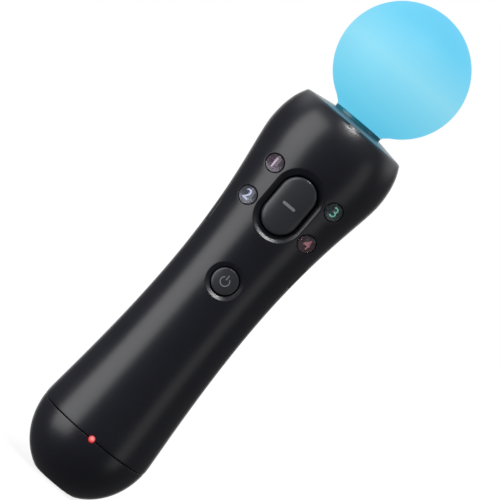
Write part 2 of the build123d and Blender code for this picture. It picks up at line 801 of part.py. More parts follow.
def ball_section(radius, neck, neck_low):
    """Half section of the ball down to the foot of its neck, with a small fillet between them."""
    reach = radius + NECK_FILLET
    side = neck + NECK_FILLET
    drop = math.sqrt(reach**2 - side**2)
    centre = (side, BALL_HEIGHT - drop)
    share = radius / reach
    meet = (side * share, BALL_HEIGHT - drop * share)
    bend = math.atan2(drop, side) / 2
    halfway = (
        centre[0] - NECK_FILLET * math.cos(bend),
        centre[1] + NECK_FILLET * math.sin(bend),
    )
    fillet_arc = ThreePointArc((neck, 0, centre[1]), (halfway[0], 0, halfway[1]), (meet[0], 0, meet[1]))
    belly = ThreePointArc(
        (meet[0], 0, meet[1]), (radius, 0, BALL_HEIGHT), (0, 0, BALL_HEIGHT + radius)
    )
    closing = Polyline(
        (0, 0, BALL_HEIGHT + radius), (0, 0, neck_low), (neck, 0, neck_low), (neck, 0, centre[1])
    )
    return make_face([fillet_arc, belly, *closing.edges()])


def lamp_board():
    """Round board that carries the lamp, bored for its screws."""
    low = lamp_board_top() - LAMP_BOARD_THICKNESS
    board = rod((0, 0, low), (0, 0, lamp_board_top()), LAMP_BOARD_RADIUS)
    for x, y in plate_screw_places():
        board -= rod((x, y, low), (x, y, lamp_board_top()), PLATE_SCREW_RADIUS + FIT)
    return board


def ball_lamp():
    """Square lamp package with a round lens on top."""
    low = lamp_board_top()
    half_width = LAMP_WIDTH / 2
    lens = Pos(0, 0, low + LAMP_HEIGHT) * Sphere(LAMP_LENS_RADIUS)
    case = block((-half_width, half_width), (-half_width, half_width), (low, low + LAMP_HEIGHT))
    above = block(
        (-half_width, half_width), (-half_width, half_width), (low + LAMP_HEIGHT / 2, low + LAMP_WIDTH)
    )
    return case + (lens & above)


def light_guide():
    """Domed white cup over the lamp, which spreads its light into the ball."""
    low = lamp_board_top()
    high = low + GUIDE_HEIGHT
    cup = rod((0, 0, low), (0, 0, high), GUIDE_RADIUS) + Pos(0, 0, high) * Sphere(GUIDE_RADIUS)
    inner = GUIDE_RADIUS - GUIDE_WALL
    return cup - rod((0, 0, low), (0, 0, high), inner) - Pos(0, 0, high) * Sphere(inner)


def plate_screws():
    """Small screws from below, through the lamp board and the socket into the plate."""
    head_top = lamp_board_top() - LAMP_BOARD_THICKNESS
    tip = flange_top() + PLATE_SCREW_GRIP
    screws = [
        rod((x, y, head_top - PLATE_SCREW_HEAD), (x, y, head_top), PLATE_SCREW_HEAD_RADIUS)
        + rod((x, y, head_top), (x, y, tip), PLATE_SCREW_RADIUS)
        for x, y in plate_screw_places()
    ]
    return Part() + screws


def action_button():
    """Large button in the middle: a hollow stadium with a flange inside and a plunger."""
    back = BOARD_FRONT - DOME_HEIGHT - SEAT
    button = from_front(action_outline(), back, -HEAD_RADIUS) & handle_solid(-ACTION_PROUD)
    top = button.faces().sort_by(Axis.Y)[0]
    button = fillet(top.edges(), ACTION_ROUND)
    flange = from_front(action_outline(FLANGE_MARGIN), back, -HEAD_RADIUS)
    button += flange & handle_solid(WELL_FLOOR + GUIDE_CLEARANCE)
    pocket = from_front(action_outline(-BUTTON_SKIN), back, -HEAD_RADIUS)
    button -= pocket & handle_solid(WELL_FLOOR)
    plunger = rod((0, back, ACTION_HEIGHT), (0, -HEAD_RADIUS, ACTION_HEIGHT), PLUNGER_RADIUS)
    return button + (plunger & handle_solid(WELL_FLOOR / 2))


def face_cap(place):
    """Clear domed cap of a round face button."""
    column = from_front(face_outline(place), BOARD_FRONT, -HEAD_RADIUS)
    dome = column & handle_solid(-FACE_PROUD)
    top = dome.faces().sort_by(Axis.Y)[0]
    dome = fillet(top.edges(), FACE_ROUND)
    return dome - handle_solid(FACE_CAP - FACE_PROUD)


def face_core(place):
    """Coloured core under the cap, with the skirt that keeps the button in its hole."""
    back = BOARD_FRONT - DOME_HEIGHT - SEAT
    column = from_front(face_outline(place), back, -HEAD_RADIUS)
    core = column & handle_solid(FACE_CAP - FACE_PROUD)
    skirt = from_front(face_outline(place, SKIRT_MARGIN), back, -HEAD_RADIUS)
    return core + (skirt & handle_solid(WALL + GUIDE_CLEARANCE))


def home_button():
    """Round button lower on the front, with its flange and plunger."""
    back = BOARD_FRONT - DOME_HEIGHT - SEAT
    button = from_front(home_outline(), back, -HEAD_RADIUS) & handle_solid(HOME_SUNK)
    top = button.faces().sort_by(Axis.Y)[0]
    button = fillet(top.edges(), HOME_ROUND)
    flange = from_front(home_outline(FLANGE_MARGIN), back, -HEAD_RADIUS)
    button += flange & handle_solid(HOME_FLOOR + GUIDE_CLEARANCE)
    pocket = from_front(home_outline(-BUTTON_SKIN), back, -HEAD_RADIUS)
    button -= pocket & handle_solid(HOME_FLOOR)
    plunger = rod((0, back, HOME_HEIGHT), (0, -HEAD_RADIUS, HOME_HEIGHT), PLUNGER_RADIUS)
    return button + (plunger & handle_solid(HOME_FLOOR / 2))


def side_button(side):
    """Long narrow button at one side of the handle, with a flange behind the wall."""
    ends = sorted((side * SIDE_INNER, side * HEAD_RADIUS))
    button = from_side(side_outline(), *ends) & handle_solid(-SIDE_PROUD)
    top = button.faces().sort_by(Axis.X)[-1 if side > 0 else 0]
    button = fillet(top.edges(), SIDE_ROUND)
    flange = from_side(side_outline(SIDE_FLANGE), *ends)
    return button + (flange & handle_solid(WALL + GUIDE_CLEARANCE))


def side_switches():
    """Small switches at the edges of the main board, one for each side button."""
    rear = BOARD_FRONT + BOARD_THICKNESS
    face = SIDE_INNER - SIDE_TRAVEL - SEAT - SIDE_NUB_LENGTH
    height = (SIDE_HEIGHT - SIDE_SWITCH_LENGTH / 2, SIDE_HEIGHT + SIDE_SWITCH_LENGTH / 2)
    nub_depth = rear + SIDE_SWITCH_HEIGHT / 2
    switches = []
    for side in (-1, 1):
        across = sorted((side * (face - SIDE_SWITCH_DEPTH), side * face))
        switches.append(block(across, (rear, rear + SIDE_SWITCH_HEIGHT), height))
        start = (side * (face - SEAT), nub_depth, SIDE_HEIGHT)
        end = (side * (face + SIDE_NUB_LENGTH), nub_depth, SIDE_HEIGHT)
        switches.append(rod(start, end, SIDE_NUB_RADIUS))
    return Part() + switches


def trigger_outline(inset=0.0):
    """Side view of the trigger. With an inset it is the outline of the hollow behind its walls."""
    knuckle = KNUCKLE_RADIUS - inset
    reach = TRIGGER_REACH - inset
    top = (PIVOT_DEPTH + knuckle, PIVOT_HEIGHT)
    lip_depth = TRIGGER_LIP_DEPTH - inset * 2
    lip = (lip_depth, PIVOT_HEIGHT - math.sqrt(reach**2 - (lip_depth - PIVOT_DEPTH) ** 2))
    fall = top[1] - lip[1]
    flare = lip[0] - top[0]
    grip = Bezier(
        *side_view(
            top,
            (top[0], top[1] - fall * TRIGGER_FALL_SHARE),
            (top[0] + flare * TRIGGER_FLARE_DEPTH_SHARE, lip[1] + fall * TRIGGER_FLARE_SHARE),
            lip,
        )
    )
    back = TRIGGER_BACK_DEPTH if inset == 0 else PIVOT_DEPTH - TRIGGER_REACH / 2
    foot = (back, PIVOT_HEIGHT - math.sqrt(reach**2 - (back - PIVOT_DEPTH) ** 2))
    middle = (PIVOT_DEPTH, PIVOT_HEIGHT - reach)
    sole = ThreePointArc(*side_view(lip, middle, foot))
    crown = (PIVOT_DEPTH, PIVOT_HEIGHT + knuckle)
    if inset == 0:
        heel = (PIVOT_DEPTH - knuckle, PIVOT_HEIGHT)
        closing = [Line(*side_view(foot, heel))]
        closing.append(ThreePointArc(*side_view(heel, crown, top)))
    else:
        over = PIVOT_HEIGHT + KNUCKLE_RADIUS + TRIGGER_GAP
        open_back = Polyline(*side_view(foot, (foot[0], over), (PIVOT_DEPTH, over), crown))
        quarter = knuckle * math.sqrt(0.5)
        halfway = (PIVOT_DEPTH + quarter, PIVOT_HEIGHT + quarter)
        closing = [*open_back.edges(), ThreePointArc(*side_view(crown, halfway, top))]
    return make_face([grip, sole, *closing])


def across_x(face, width):
    """A face in the plane x = 0 carried to both sides to a width."""
    return extrude(face, amount=width / 2, both=True)


def trigger():
    """Hollow lever of the trigger, with its pin bore and the paddle that works the pad."""
    solid = across_x(trigger_outline(), TRIGGER_WIDTH)
    lip_edges = solid.edges().filter_by(Axis.X).sort_by(Axis.Y)[-1:]
    solid = fillet(lip_edges, LIP_ROUND)
    sides = [
        edge
        for edge in solid.edges()
        if abs(abs(edge.position_at(0.5).X) - TRIGGER_WIDTH / 2) < FIT
        and edge.position_at(0.5).Y > PIVOT_DEPTH + KNUCKLE_RADIUS / 3
    ]
    solid = fillet(sides, TRIGGER_ROUND)
    solid -= across_x(trigger_outline(TRIGGER_WALL), TRIGGER_WIDTH - 2 * TRIGGER_WALL)
    high = PIVOT_HEIGHT - PADDLE_DROP + PADDLE_HEIGHT / 2
    solid += block(
        (-PADDLE_WIDTH / 2, PADDLE_WIDTH / 2),
        (PADDLE_DEPTH, PIVOT_DEPTH + KNUCKLE_RADIUS - TRIGGER_WALL / 2),
        (high - PADDLE_HEIGHT, high),
    )
    ends = [(side * TRIGGER_WIDTH, PIVOT_DEPTH, PIVOT_HEIGHT) for side in (-1, 1)]
    return solid + trigger_catches() - rod(*ends, PIN_RADIUS + RUNNING_FIT)


def trigger_catches():
    """Two tabs that catch behind the edges of the slot and stop the trigger from swinging out."""
    low = slot_floor() + TRIGGER_GAP + CATCH_LOW
    reach = TRIGGER_WIDTH / 2 + CATCH_REACH
    inner = TRIGGER_WIDTH / 2 - TRIGGER_WALL / 2
    back = skin_depth(low, reach, WALL + GUIDE_CLEARANCE)
    catches = [
        block(
            sorted((side * inner, side * reach)),
            (back - CATCH_DEPTH, back + CATCH_DEPTH),
            (low, low + CATCH_HEIGHT),
        )
        for side in (-1, 1)
    ]
    return (Part() + catches) & handle_solid(WALL + GUIDE_CLEARANCE)


def trigger_pin():
    """Steel pin that the trigger turns on."""
    reach = TRIGGER_WIDTH / 2 + TRIGGER_GAP + EAR_BOSS_WIDTH
    return rod((-reach, PIVOT_DEPTH, PIVOT_HEIGHT), (reach, PIVOT_DEPTH, PIVOT_HEIGHT), PIN_RADIUS)


def coil_turns():
    """Turns of the trigger spring: whole turns, and the quarter that squares its legs."""
    return COIL_TURNS + LEG_TURN_SHARE


def trigger_spring():
    """Torsion spring round the pin: one leg down inside the trigger, one in under the shelf."""
    length = COIL_PITCH * coil_turns()
    helix = Helix(COIL_PITCH, length, COIL_RADIUS)
    start = Vector(-length / 2, PIVOT_DEPTH + COIL_RADIUS, PIVOT_HEIGHT)
    end = Vector(length / 2, PIVOT_DEPTH, PIVOT_HEIGHT + COIL_RADIUS)
    coil = Plane(
        origin=(-length / 2, PIVOT_DEPTH, PIVOT_HEIGHT), x_dir=(0, 1, 0), z_dir=(1, 0, 0)
    ).location * helix
    down = Line(start - Vector(0, 0, SPRING_LEG_DOWN), start)
    inward = Line(end, end - Vector(0, SPRING_LEG_IN, 0))
    path = Wire([down, coil, inward])
    section = Plane(origin=path @ 0, z_dir=path % 0) * Circle(WIRE_RADIUS)
    return sweep(section, path=path)


def trigger_board_back():
    """Depth of the face of the trigger board that carries the pad."""
    return PADDLE_DEPTH - SEAT - PAD_LENGTH


def trigger_board():
    """Small upright board behind the trigger."""
    middle = PIVOT_HEIGHT - PADDLE_DROP
    width, height = TRIGGER_BOARD_WIDTH / 2, TRIGGER_BOARD_HEIGHT / 2
    back = trigger_board_back()
    depth = (back - TRIGGER_BOARD_THICKNESS, back)
    return block((-width, width), depth, (middle - height, middle + height))


def trigger_pad():
    """Conductive rubber cone that the trigger's paddle squeezes."""
    middle = PIVOT_HEIGHT - PADDLE_DROP
    back = trigger_board_back()
    base = Plane(origin=(0, back, middle), z_dir=(0, 1, 0)) * Circle(PAD_RADIUS)
    tip = Plane(origin=(0, back + PAD_LENGTH, middle), z_dir=(0, 1, 0)) * Circle(PAD_RADIUS / 2)
    return loft([base, tip])


def main_board():
    """Long board behind the buttons, wide under the face buttons and notched for the bosses."""
    wide, narrow = BOARD_WIDE / 2, BOARD_NARROW / 2
    notch = SIDE_HEIGHT + SIDE_LENGTH / 2 + SIDE_FLANGE + BOARD_CLEARANCE
    shoulder = notch + wide - narrow
    sketch = Polygon(
        (-wide, BOARD_TOP),
        (-wide, shoulder),
        (-narrow, notch),
        (-narrow, BOARD_BOTTOM),
        (narrow, BOARD_BOTTOM),
        (narrow, notch),
        (wide, shoulder),
        (wide, BOARD_TOP),
        align=None,
    )
    sketch = fillet(sketch.vertices(), BOARD_CORNER)
    board = from_front(sketch, BOARD_FRONT + BOARD_THICKNESS, BOARD_FRONT)
    for across, height in screw_places("middle"):
        board -= rod((across, BOARD_FRONT, height), (across, 0, height), BOSS_TIP_RADIUS + FIT)
    return board


def button_mat():
    """Silicone mat with a hollow-looking dome under each front button."""
    skin = BOARD_FRONT - MAT_THICKNESS
    low = min(FACE_HEIGHTS.values()) - MAT_MARGIN
    high = max(FACE_HEIGHTS.values()) + MAT_MARGIN
    foot = HOME_HEIGHT - MAT_MARGIN
    width = FACE_SPREAD + DOME_BASE_RADIUS * 2
    sheet = Pos(0, (low + high) / 2) * RectangleRounded(width, high - low, BOARD_CORNER)
    tongue = Pos(0, (foot + high) / 2) * RectangleRounded(MAT_MARGIN * 2, high - foot, BOARD_CORNER)
    mat = from_front(sheet + tongue, BOARD_FRONT, skin)
    domes = []
    for across, height in [*face_places().values(), (0, ACTION_HEIGHT), (0, HOME_HEIGHT)]:
        spot = Pos(across, height)
        base = Plane.XZ.offset(-BOARD_FRONT) * (spot * Circle(DOME_BASE_RADIUS))
        tip = Plane.XZ.offset(DOME_HEIGHT - BOARD_FRONT) * (spot * Circle(DOME_TOP_RADIUS))
        domes.append(loft([base, tip]))
    return Part() + [mat, *domes]


def board_chips():
    """Chips on the back of the main board."""
    rear = BOARD_FRONT + BOARD_THICKNESS
    half_size = PROCESSOR_SIZE / 2
    chips = [
        block(
            (-half_size, half_size),
            (rear, rear + CHIP_HEIGHT),
            (PROCESSOR_HEIGHT - half_size, PROCESSOR_HEIGHT + half_size),
        )
    ]
    for side in (-1, 1):
        across = side * SENSOR_SPREAD / 2
        height = (SENSOR_HEIGHT - SENSOR_SIZE / 2, SENSOR_HEIGHT + SENSOR_SIZE / 2)
        width = (across - SENSOR_SIZE / 2, across + SENSOR_SIZE / 2)
        chips.append(block(width, (rear, rear + CHIP_HEIGHT), height))
    chips.append(
        block(
            (-MEMORY_WIDTH / 2, MEMORY_WIDTH / 2),
            (rear, rear + CHIP_HEIGHT),
            (MEMORY_HEIGHT - MEMORY_LENGTH / 2, MEMORY_HEIGHT + MEMORY_LENGTH / 2),
        )
    )
    return Part() + chips


def radio_can():
    """Screening can over the radio, on the back of the main board."""
    rear = BOARD_FRONT + BOARD_THICKNESS
    sketch = Pos(0, RADIO_HEIGHT) * RectangleRounded(RADIO_WIDTH, RADIO_LENGTH, RADIO_ROUND)
    return from_front(sketch, rear + RADIO_THICKNESS, rear)


def inner_frame():
    """Frame between the board and the battery: a plate with a battery tray and a motor cradle."""
    back = FRAME_FRONT + FRAME_THICKNESS
    wide, upper, lower = FRAME_WIDTH / 2, FRAME_UPPER_WIDTH / 2, FRAME_LOWER_WIDTH / 2
    tray_low = BATTERY_BOTTOM - SEAT - TRAY_WALL
    tray_high = BATTERY_BOTTOM + BATTERY_LENGTH + SEAT + TRAY_WALL
    neck = SCREW_HEIGHTS["middle"] + BOSS_RADIUS + TRAY_WALL * 2
    plate = block((-wide, wide), (FRAME_FRONT, back), (tray_low, neck))
    plate += block((-upper, upper), (FRAME_FRONT, back), (neck, FRAME_TOP))
    plate += block((-lower, lower), (FRAME_FRONT, back), (FRAME_BOTTOM, tray_low))
    tray = block((-wide, wide), (back, TRAY_DEPTH), (tray_low, tray_high))
    inner = BATTERY_WIDTH / 2 + SEAT
    tray -= block((-inner, inner), (back, TRAY_DEPTH), (tray_low + TRAY_WALL, tray_high - TRAY_WALL))
    frame = plate + tray
    rear = BOARD_FRONT + BOARD_THICKNESS
    for across, height in frame_post_places():
        frame += rod((across, rear, height), (across, back, height), FRAME_POST_RADIUS)
    for side in (-1, 1):
        across = side * (TRIGGER_BOARD_WIDTH / 2 - FRAME_POST_RADIUS)
        face = trigger_board_back() - TRIGGER_BOARD_THICKNESS
        middle = PIVOT_HEIGHT - PADDLE_DROP
        frame += rod((across, FRAME_FRONT, middle), (across, face, middle), FRAME_POST_RADIUS)
    for across, height in screw_places("middle"):
        frame -= rod((across, BOARD_FRONT, height), (across, BOSS_MEET, height), BOSS_TIP_RADIUS + FIT)
    return frame + motor_cradle()


def frame_post_places():
    """Places of the short posts that hold the main board off the frame."""
    across = FRAME_UPPER_WIDTH / 2 - FRAME_POST_RADIUS
    low = BOARD_BOTTOM + BOARD_CORNER + FRAME_POST_RADIUS
    high = BOARD_TOP - FRAME_POST_RADIUS * 2
    return [(side * across, height) for side in (-1, 1) for height in (low, high)]


def motor_cradle():
    """Split ring below the tray that holds the motor's can."""
    outer = MOTOR_RADIUS + SEAT + CRADLE_WALL
    low, high = MOTOR_TOP - MOTOR_LENGTH + SEAT, MOTOR_TOP - MOTOR_LENGTH + SEAT + CRADLE_LENGTH
    ring = rod((0, MOTOR_DEPTH, low), (0, MOTOR_DEPTH, high), outer)
    ring += block((-outer, outer), (FRAME_FRONT, MOTOR_DEPTH), (low, high))
    ring -= rod((0, MOTOR_DEPTH, low), (0, MOTOR_DEPTH, high), MOTOR_RADIUS + SEAT)
    gap = MOTOR_RADIUS / 2
    return ring - block((-gap, gap), (MOTOR_DEPTH, MOTOR_DEPTH + outer + OVERRUN), (low, high))


def battery_pack():
    """Flat battery in its wrapped case."""
    front = FRAME_FRONT + FRAME_THICKNESS + SEAT
    sketch = Pos(0, (front + battery_back()) / 2) * RectangleRounded(
        BATTERY_WIDTH, BATTERY_THICKNESS, BATTERY_ROUND
    )
    return from_below(sketch, BATTERY_BOTTOM, BATTERY_BOTTOM + BATTERY_LENGTH)


def motor_can():
    """Can of the rumble motor, with the short neck of its bearing."""
    low = MOTOR_TOP - MOTOR_LENGTH
    can = rod((0, MOTOR_DEPTH, low), (0, MOTOR_DEPTH, MOTOR_TOP), MOTOR_RADIUS)
    can += rod((0, MOTOR_DEPTH, low - MOTOR_NECK_LENGTH), (0, MOTOR_DEPTH, low), MOTOR_NECK_RADIUS)
    deep = (0, MOTOR_DEPTH, low + MOTOR_LENGTH / 2)
    return can - rod((0, MOTOR_DEPTH, low - MOTOR_NECK_LENGTH), deep, SHAFT_RADIUS + RUNNING_FIT)


def motor_weight():
    """Shaft of the motor with its half-round weight, which shakes the wand as it spins."""
    can_low = MOTOR_TOP - MOTOR_LENGTH
    high = can_low - MOTOR_NECK_LENGTH - WEIGHT_GAP
    low = high - WEIGHT_LENGTH
    shaft_top = (0, MOTOR_DEPTH, can_low + MOTOR_LENGTH / 2 - SEAT)
    weight = rod((0, MOTOR_DEPTH, low), (0, MOTOR_DEPTH, high), WEIGHT_RADIUS)
    weight &= block(
        (-WEIGHT_RADIUS, WEIGHT_RADIUS), (MOTOR_DEPTH, MOTOR_DEPTH + WEIGHT_RADIUS), (low, high)
    )
    weight += rod((0, MOTOR_DEPTH, low), (0, MOTOR_DEPTH, high), WEIGHT_HUB_RADIUS)
    return weight + rod((0, MOTOR_DEPTH, low), shaft_top, SHAFT_RADIUS)


def tail_board():
    """Round board above the sockets of the tail, cut back for the strap pocket."""
    high = TAIL_BOARD_HEIGHT + TAIL_BOARD_THICKNESS
    board = rod((0, 0, TAIL_BOARD_HEIGHT), (0, 0, high), TAIL_BOARD_RADIUS)
    for across, depth in post_places():
        board -= rod((across, depth, TAIL_BOARD_HEIGHT), (across, depth, high), PLATE_SCREW_RADIUS + FIT)
    return board


def tail_screws():
    """Two small screws that hold the tail board on its posts."""
    seat = TAIL_BOARD_HEIGHT + TAIL_BOARD_THICKNESS
    screws = [
        rod((across, depth, seat), (across, depth, seat + PLATE_SCREW_HEAD), PLATE_SCREW_HEAD_RADIUS)
        + rod((across, depth, seat - TAIL_SCREW_LENGTH), (across, depth, seat), PLATE_SCREW_RADIUS)
        for across, depth in post_places()
    ]
    return Part() + screws


def usb_outline(margin=0.0):
    """Mouth of the charging socket: a rectangle with two corners cut off."""
    wide, deep = USB_WIDTH / 2 + margin, USB_THICKNESS / 2 + margin
    cut = USB_CHAMFER
    return Pos(0, USB_DEPTH) * Polygon(
        (-wide, cut - deep),
        (cut - wide, -deep),
        (wide - cut, -deep),
        (wide, cut - deep),
        (wide, deep),
        (-wide, deep),
        align=None,
    )


def usb_socket():
    """Charging socket: a bent steel shell with a tongue in the middle."""
    low, high = SOCKET_MOUTH, TAIL_BOARD_HEIGHT
    shell = from_below(usb_outline(), low, high)
    shell -= from_below(usb_outline(-USB_SHELL), low, high - WALL)
    tongue = block(
        (-USB_TONGUE_WIDTH / 2, USB_TONGUE_WIDTH / 2),
        (USB_DEPTH - USB_TONGUE / 2, USB_DEPTH + USB_TONGUE / 2),
        (low + SOCKET_MOUTH, high),
    )
    return shell + tongue


def port_outline(margin=0.0):
    """Mouth of the accessory socket."""
    width, depth = PORT_WIDTH + 2 * margin, PORT_THICKNESS + 2 * margin
    return Pos(0, PORT_DEPTH) * RectangleRounded(width, depth, PORT_CORNER + margin)


def port_blades():
    """Places across the accessory socket of its contact blades."""
    first = -PORT_BLADE_PITCH * (PORT_BLADES - 1) / 2
    return [first + PORT_BLADE_PITCH * index for index in range(PORT_BLADES)]


def accessory_socket():
    """Accessory socket: a moulded frame open downwards."""
    low, high = SOCKET_MOUTH, TAIL_BOARD_HEIGHT
    frame = from_below(port_outline(), low, high)
    return frame - from_below(port_outline(-PORT_SHELL), low, low + PORT_FLOOR)


def accessory_blades():
    """Row of contact blades that stand in the accessory socket."""
    floor = SOCKET_MOUTH + PORT_FLOOR
    blades = [
        block(
            (across - PORT_BLADE_WIDTH / 2, across + PORT_BLADE_WIDTH / 2),
            (PORT_DEPTH - PORT_BLADE_THICKNESS / 2, PORT_DEPTH + PORT_BLADE_THICKNESS / 2),
            (floor - PORT_FLOOR / 2, floor),
        )
        for across in port_blades()
    ]
    return Part() + blades


def contact_strip(side, margin=0.0):
    """Space of one charging contact, from outside the dome up to the tail board."""
    across = side * CONTACT_SPREAD / 2
    half_thick, half_wide = CONTACT_THICKNESS / 2 + margin, CONTACT_WIDTH / 2 + margin
    return block(
        (across - half_thick, across + half_thick), (-half_wide, half_wide), (-OVERRUN, TAIL_BOARD_HEIGHT)
    )


def charge_contacts():
    """Two metal contacts that show at the sides of the tail's flat."""
    return Part() + [contact_strip(side) & handle_solid(SEAT) for side in (-1, 1)]


def reset_button():
    """Small pin behind the reset hole, with a collar that keeps it inside the cap."""
    outside = skin_radius(RESET_HEIGHT) - RESET_SUNK
    inner = RESET_SWITCH_FACE + RESET_NUB_LENGTH + RESET_TRAVEL + SEAT
    collar = skin_depth(RESET_HEIGHT - RESET_COLLAR_RADIUS, RESET_COLLAR_RADIUS, WALL) - GUIDE_CLEARANCE
    pin = rod((0, inner, RESET_HEIGHT), (0, outside, RESET_HEIGHT), RESET_PIN_RADIUS)
    root = (0, collar - RESET_COLLAR, RESET_HEIGHT)
    return pin + rod(root, (0, collar, RESET_HEIGHT), RESET_COLLAR_RADIUS)


def reset_switch():
    """Switch of the reset button, on the tail board."""
    low = TAIL_BOARD_HEIGHT + TAIL_BOARD_THICKNESS
    half_width = RESET_SWITCH_WIDTH / 2
    depth = (RESET_SWITCH_FACE - RESET_SWITCH_LENGTH, RESET_SWITCH_FACE)
    high = RESET_HEIGHT + (RESET_HEIGHT - low)
    switch = block((-half_width, half_width), depth, (low, high))
    end = (0, RESET_SWITCH_FACE + RESET_NUB_LENGTH, RESET_HEIGHT)
    return switch + rod((0, RESET_SWITCH_FACE - SEAT, RESET_HEIGHT), end, RESET_PIN_RADIUS)


def status_light():
    """Bent clear pipe that brings the status lamp's light to the front."""
    low = TAIL_BOARD_HEIGHT + TAIL_BOARD_THICKNESS + LIGHT_LAMP_HEIGHT + SEAT
    outside = -skin_radius(PARTING_HEIGHT) - OVERRUN
    pipe = rod((0, outside, PARTING_HEIGHT), (0, LIGHT_PIPE_BACK, PARTING_HEIGHT), LIGHT_RADIUS)
    pipe &= handle_solid(-SEAT)
    elbow = Pos(0, LIGHT_PIPE_BACK, PARTING_HEIGHT) * Sphere(LIGHT_RADIUS)
    drop = rod((0, LIGHT_PIPE_BACK, low), (0, LIGHT_PIPE_BACK, PARTING_HEIGHT), LIGHT_RADIUS)
    return pipe + elbow + drop


def status_lamp():
    """Small lamp on the tail board under the light pipe."""
    low = TAIL_BOARD_HEIGHT + TAIL_BOARD_THICKNESS
    half_width = LIGHT_LAMP_WIDTH / 2
    depth = (LIGHT_PIPE_BACK - half_width, LIGHT_PIPE_BACK + half_width)
    return block((-half_width, half_width), depth, (low, low + LIGHT_LAMP_HEIGHT))


def case_screws():
    """Six cross-head screws that hold the shells together."""
    screws = []
    for row in SCREW_HEIGHTS:
        for across, height in screw_places(row):
            head_end = SCREW_SEAT + SCREW_HEAD_HEIGHT
            seat, tip = (across, SCREW_SEAT, height), (across, SCREW_SEAT - SCREW_LENGTH, height)
            screw = rod(seat, (across, head_end, height), SCREW_HEAD_RADIUS)
            screw += rod(tip, seat, SCREW_RADIUS)
            depth = (head_end - DRIVE_DEPTH, head_end)
            arm, slim = SCREW_HEAD_RADIUS * DRIVE_REACH_SHARE, DRIVE_WIDTH / 2
            screw -= block((across - arm, across + arm), depth, (height - slim, height + slim))
            screw -= block((across - slim, across + slim), depth, (height - arm, height + arm))
            screws.append(screw)
    return Part() + screws


def all_parts():
    """Every piece by its name."""
    pieces = {
        "front_shell": front_shell(),
        "rear_shell": rear_shell(),
        "tail_cap": tail_cap(),
        "shoulder_plate": shoulder_plate(),
        "ball_socket": ball_socket(),
        "light_ball": light_ball(),
        "lamp_board": lamp_board(),
        "ball_lamp": ball_lamp(),
        "light_guide": light_guide(),
        "plate_screws": plate_screws(),
        "action_button": action_button(),
        "home_button": home_button(),
        "left_side_button": side_button(-1),
        "right_side_button": side_button(1),
        "side_switches": side_switches(),
        "trigger": trigger(),
        "trigger_pin": trigger_pin(),
        "trigger_spring": trigger_spring(),
        "trigger_board": trigger_board(),
        "trigger_pad": trigger_pad(),
        "main_board": main_board(),
        "button_mat": button_mat(),
        "board_chips": board_chips(),
        "radio_can": radio_can(),
        "inner_frame": inner_frame(),
        "battery_pack": battery_pack(),
        "motor_can": motor_can(),
        "motor_weight": motor_weight(),
        "tail_board": tail_board(),
        "tail_screws": tail_screws(),
        "usb_socket": usb_socket(),
        "accessory_socket": accessory_socket(),
        "accessory_blades": accessory_blades(),
        "charge_contacts": charge_contacts(),
        "strap_bar": strap_bar(),
        "reset_button": reset_button(),
        "reset_switch": reset_switch(),
        "status_light": status_light(),
        "status_lamp": status_lamp(),
        "case_screws": case_screws(),
    }
    for name, place in face_places().items():
        pieces[f"{name}_cap"] = face_cap(place)
        pieces[f"{name}_core"] = face_core(place)
    return pieces


def main():
    os.makedirs("parts", exist_ok=True)
    for name, piece in all_parts().items():
        export_step(piece, f"parts/{name}.step")


if __name__ == "__main__":
    main()
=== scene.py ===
"""Dresses the motion controller wand: a dark round handle with a soft light ball on its head.

Lengths are millimetres, and MM turns them into Blender's metres; the sidebar's settings and the lamps' places
are in metres. Heights run along +Z from the flat at the tail, the buttons face -Y, and an angle round the
wand is 0 at the front and grows towards +X.
"""

import json
import math

import bpy
import bmesh
import numpy as np
from bpy.props import FloatProperty, FloatVectorProperty, PointerProperty
from mathutils import Matrix, Vector
from mathutils.geometry import delaunay_2d_cdt


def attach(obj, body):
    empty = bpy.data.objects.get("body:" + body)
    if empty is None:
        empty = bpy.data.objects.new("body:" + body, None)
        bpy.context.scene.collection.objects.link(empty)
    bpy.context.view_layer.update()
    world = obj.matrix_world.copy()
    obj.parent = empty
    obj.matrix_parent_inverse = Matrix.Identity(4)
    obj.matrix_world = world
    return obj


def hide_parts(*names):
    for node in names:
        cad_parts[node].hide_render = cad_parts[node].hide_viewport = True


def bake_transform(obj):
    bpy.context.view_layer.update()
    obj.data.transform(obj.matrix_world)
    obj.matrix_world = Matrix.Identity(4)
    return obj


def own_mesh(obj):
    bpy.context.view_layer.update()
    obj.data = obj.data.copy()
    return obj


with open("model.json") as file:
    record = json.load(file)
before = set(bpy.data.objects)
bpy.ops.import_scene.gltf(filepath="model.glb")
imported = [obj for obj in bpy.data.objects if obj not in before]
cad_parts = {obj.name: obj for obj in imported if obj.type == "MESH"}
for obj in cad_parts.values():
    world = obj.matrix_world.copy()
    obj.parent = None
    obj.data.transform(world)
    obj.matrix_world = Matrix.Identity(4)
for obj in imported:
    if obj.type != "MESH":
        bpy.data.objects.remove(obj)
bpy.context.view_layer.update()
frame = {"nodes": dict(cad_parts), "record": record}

bl_info = {
    "name": "Motion controller wand",
    "version": (1, 0, 0),
    "blender": (4, 5, 0),
    "location": "3D View > Sidebar > Wand",
    "description": "Dresses the packed wand with smooth mouldings, marks, materials and a studio",
    "category": "Object",
}

MM = 0.001
CASE = "case"

# Handle outline, as the frame's shells have it
TAIL_FLAT_RADIUS = 8.4
TAIL_RADIUS, TAIL_HEIGHT = 21.05, 22.0
WAIST_RADIUS, WAIST_HEIGHT = 17.63, 80.0
HEAD_RADIUS, HEAD_HEIGHT = 23.0, 138.3
RIM_RADIUS, RIM_HEIGHT, RIM_ROUND = 19.9, 152.8, 0.8
DOME_SHARES = (0.46, 0.118, 0.545)
GRIP_SHARES = (0.055, 0.47)
FLARE_SHARES = (0.583, 0.135)
CROWN_SHARES = (0.5, 0.52, 0.19)

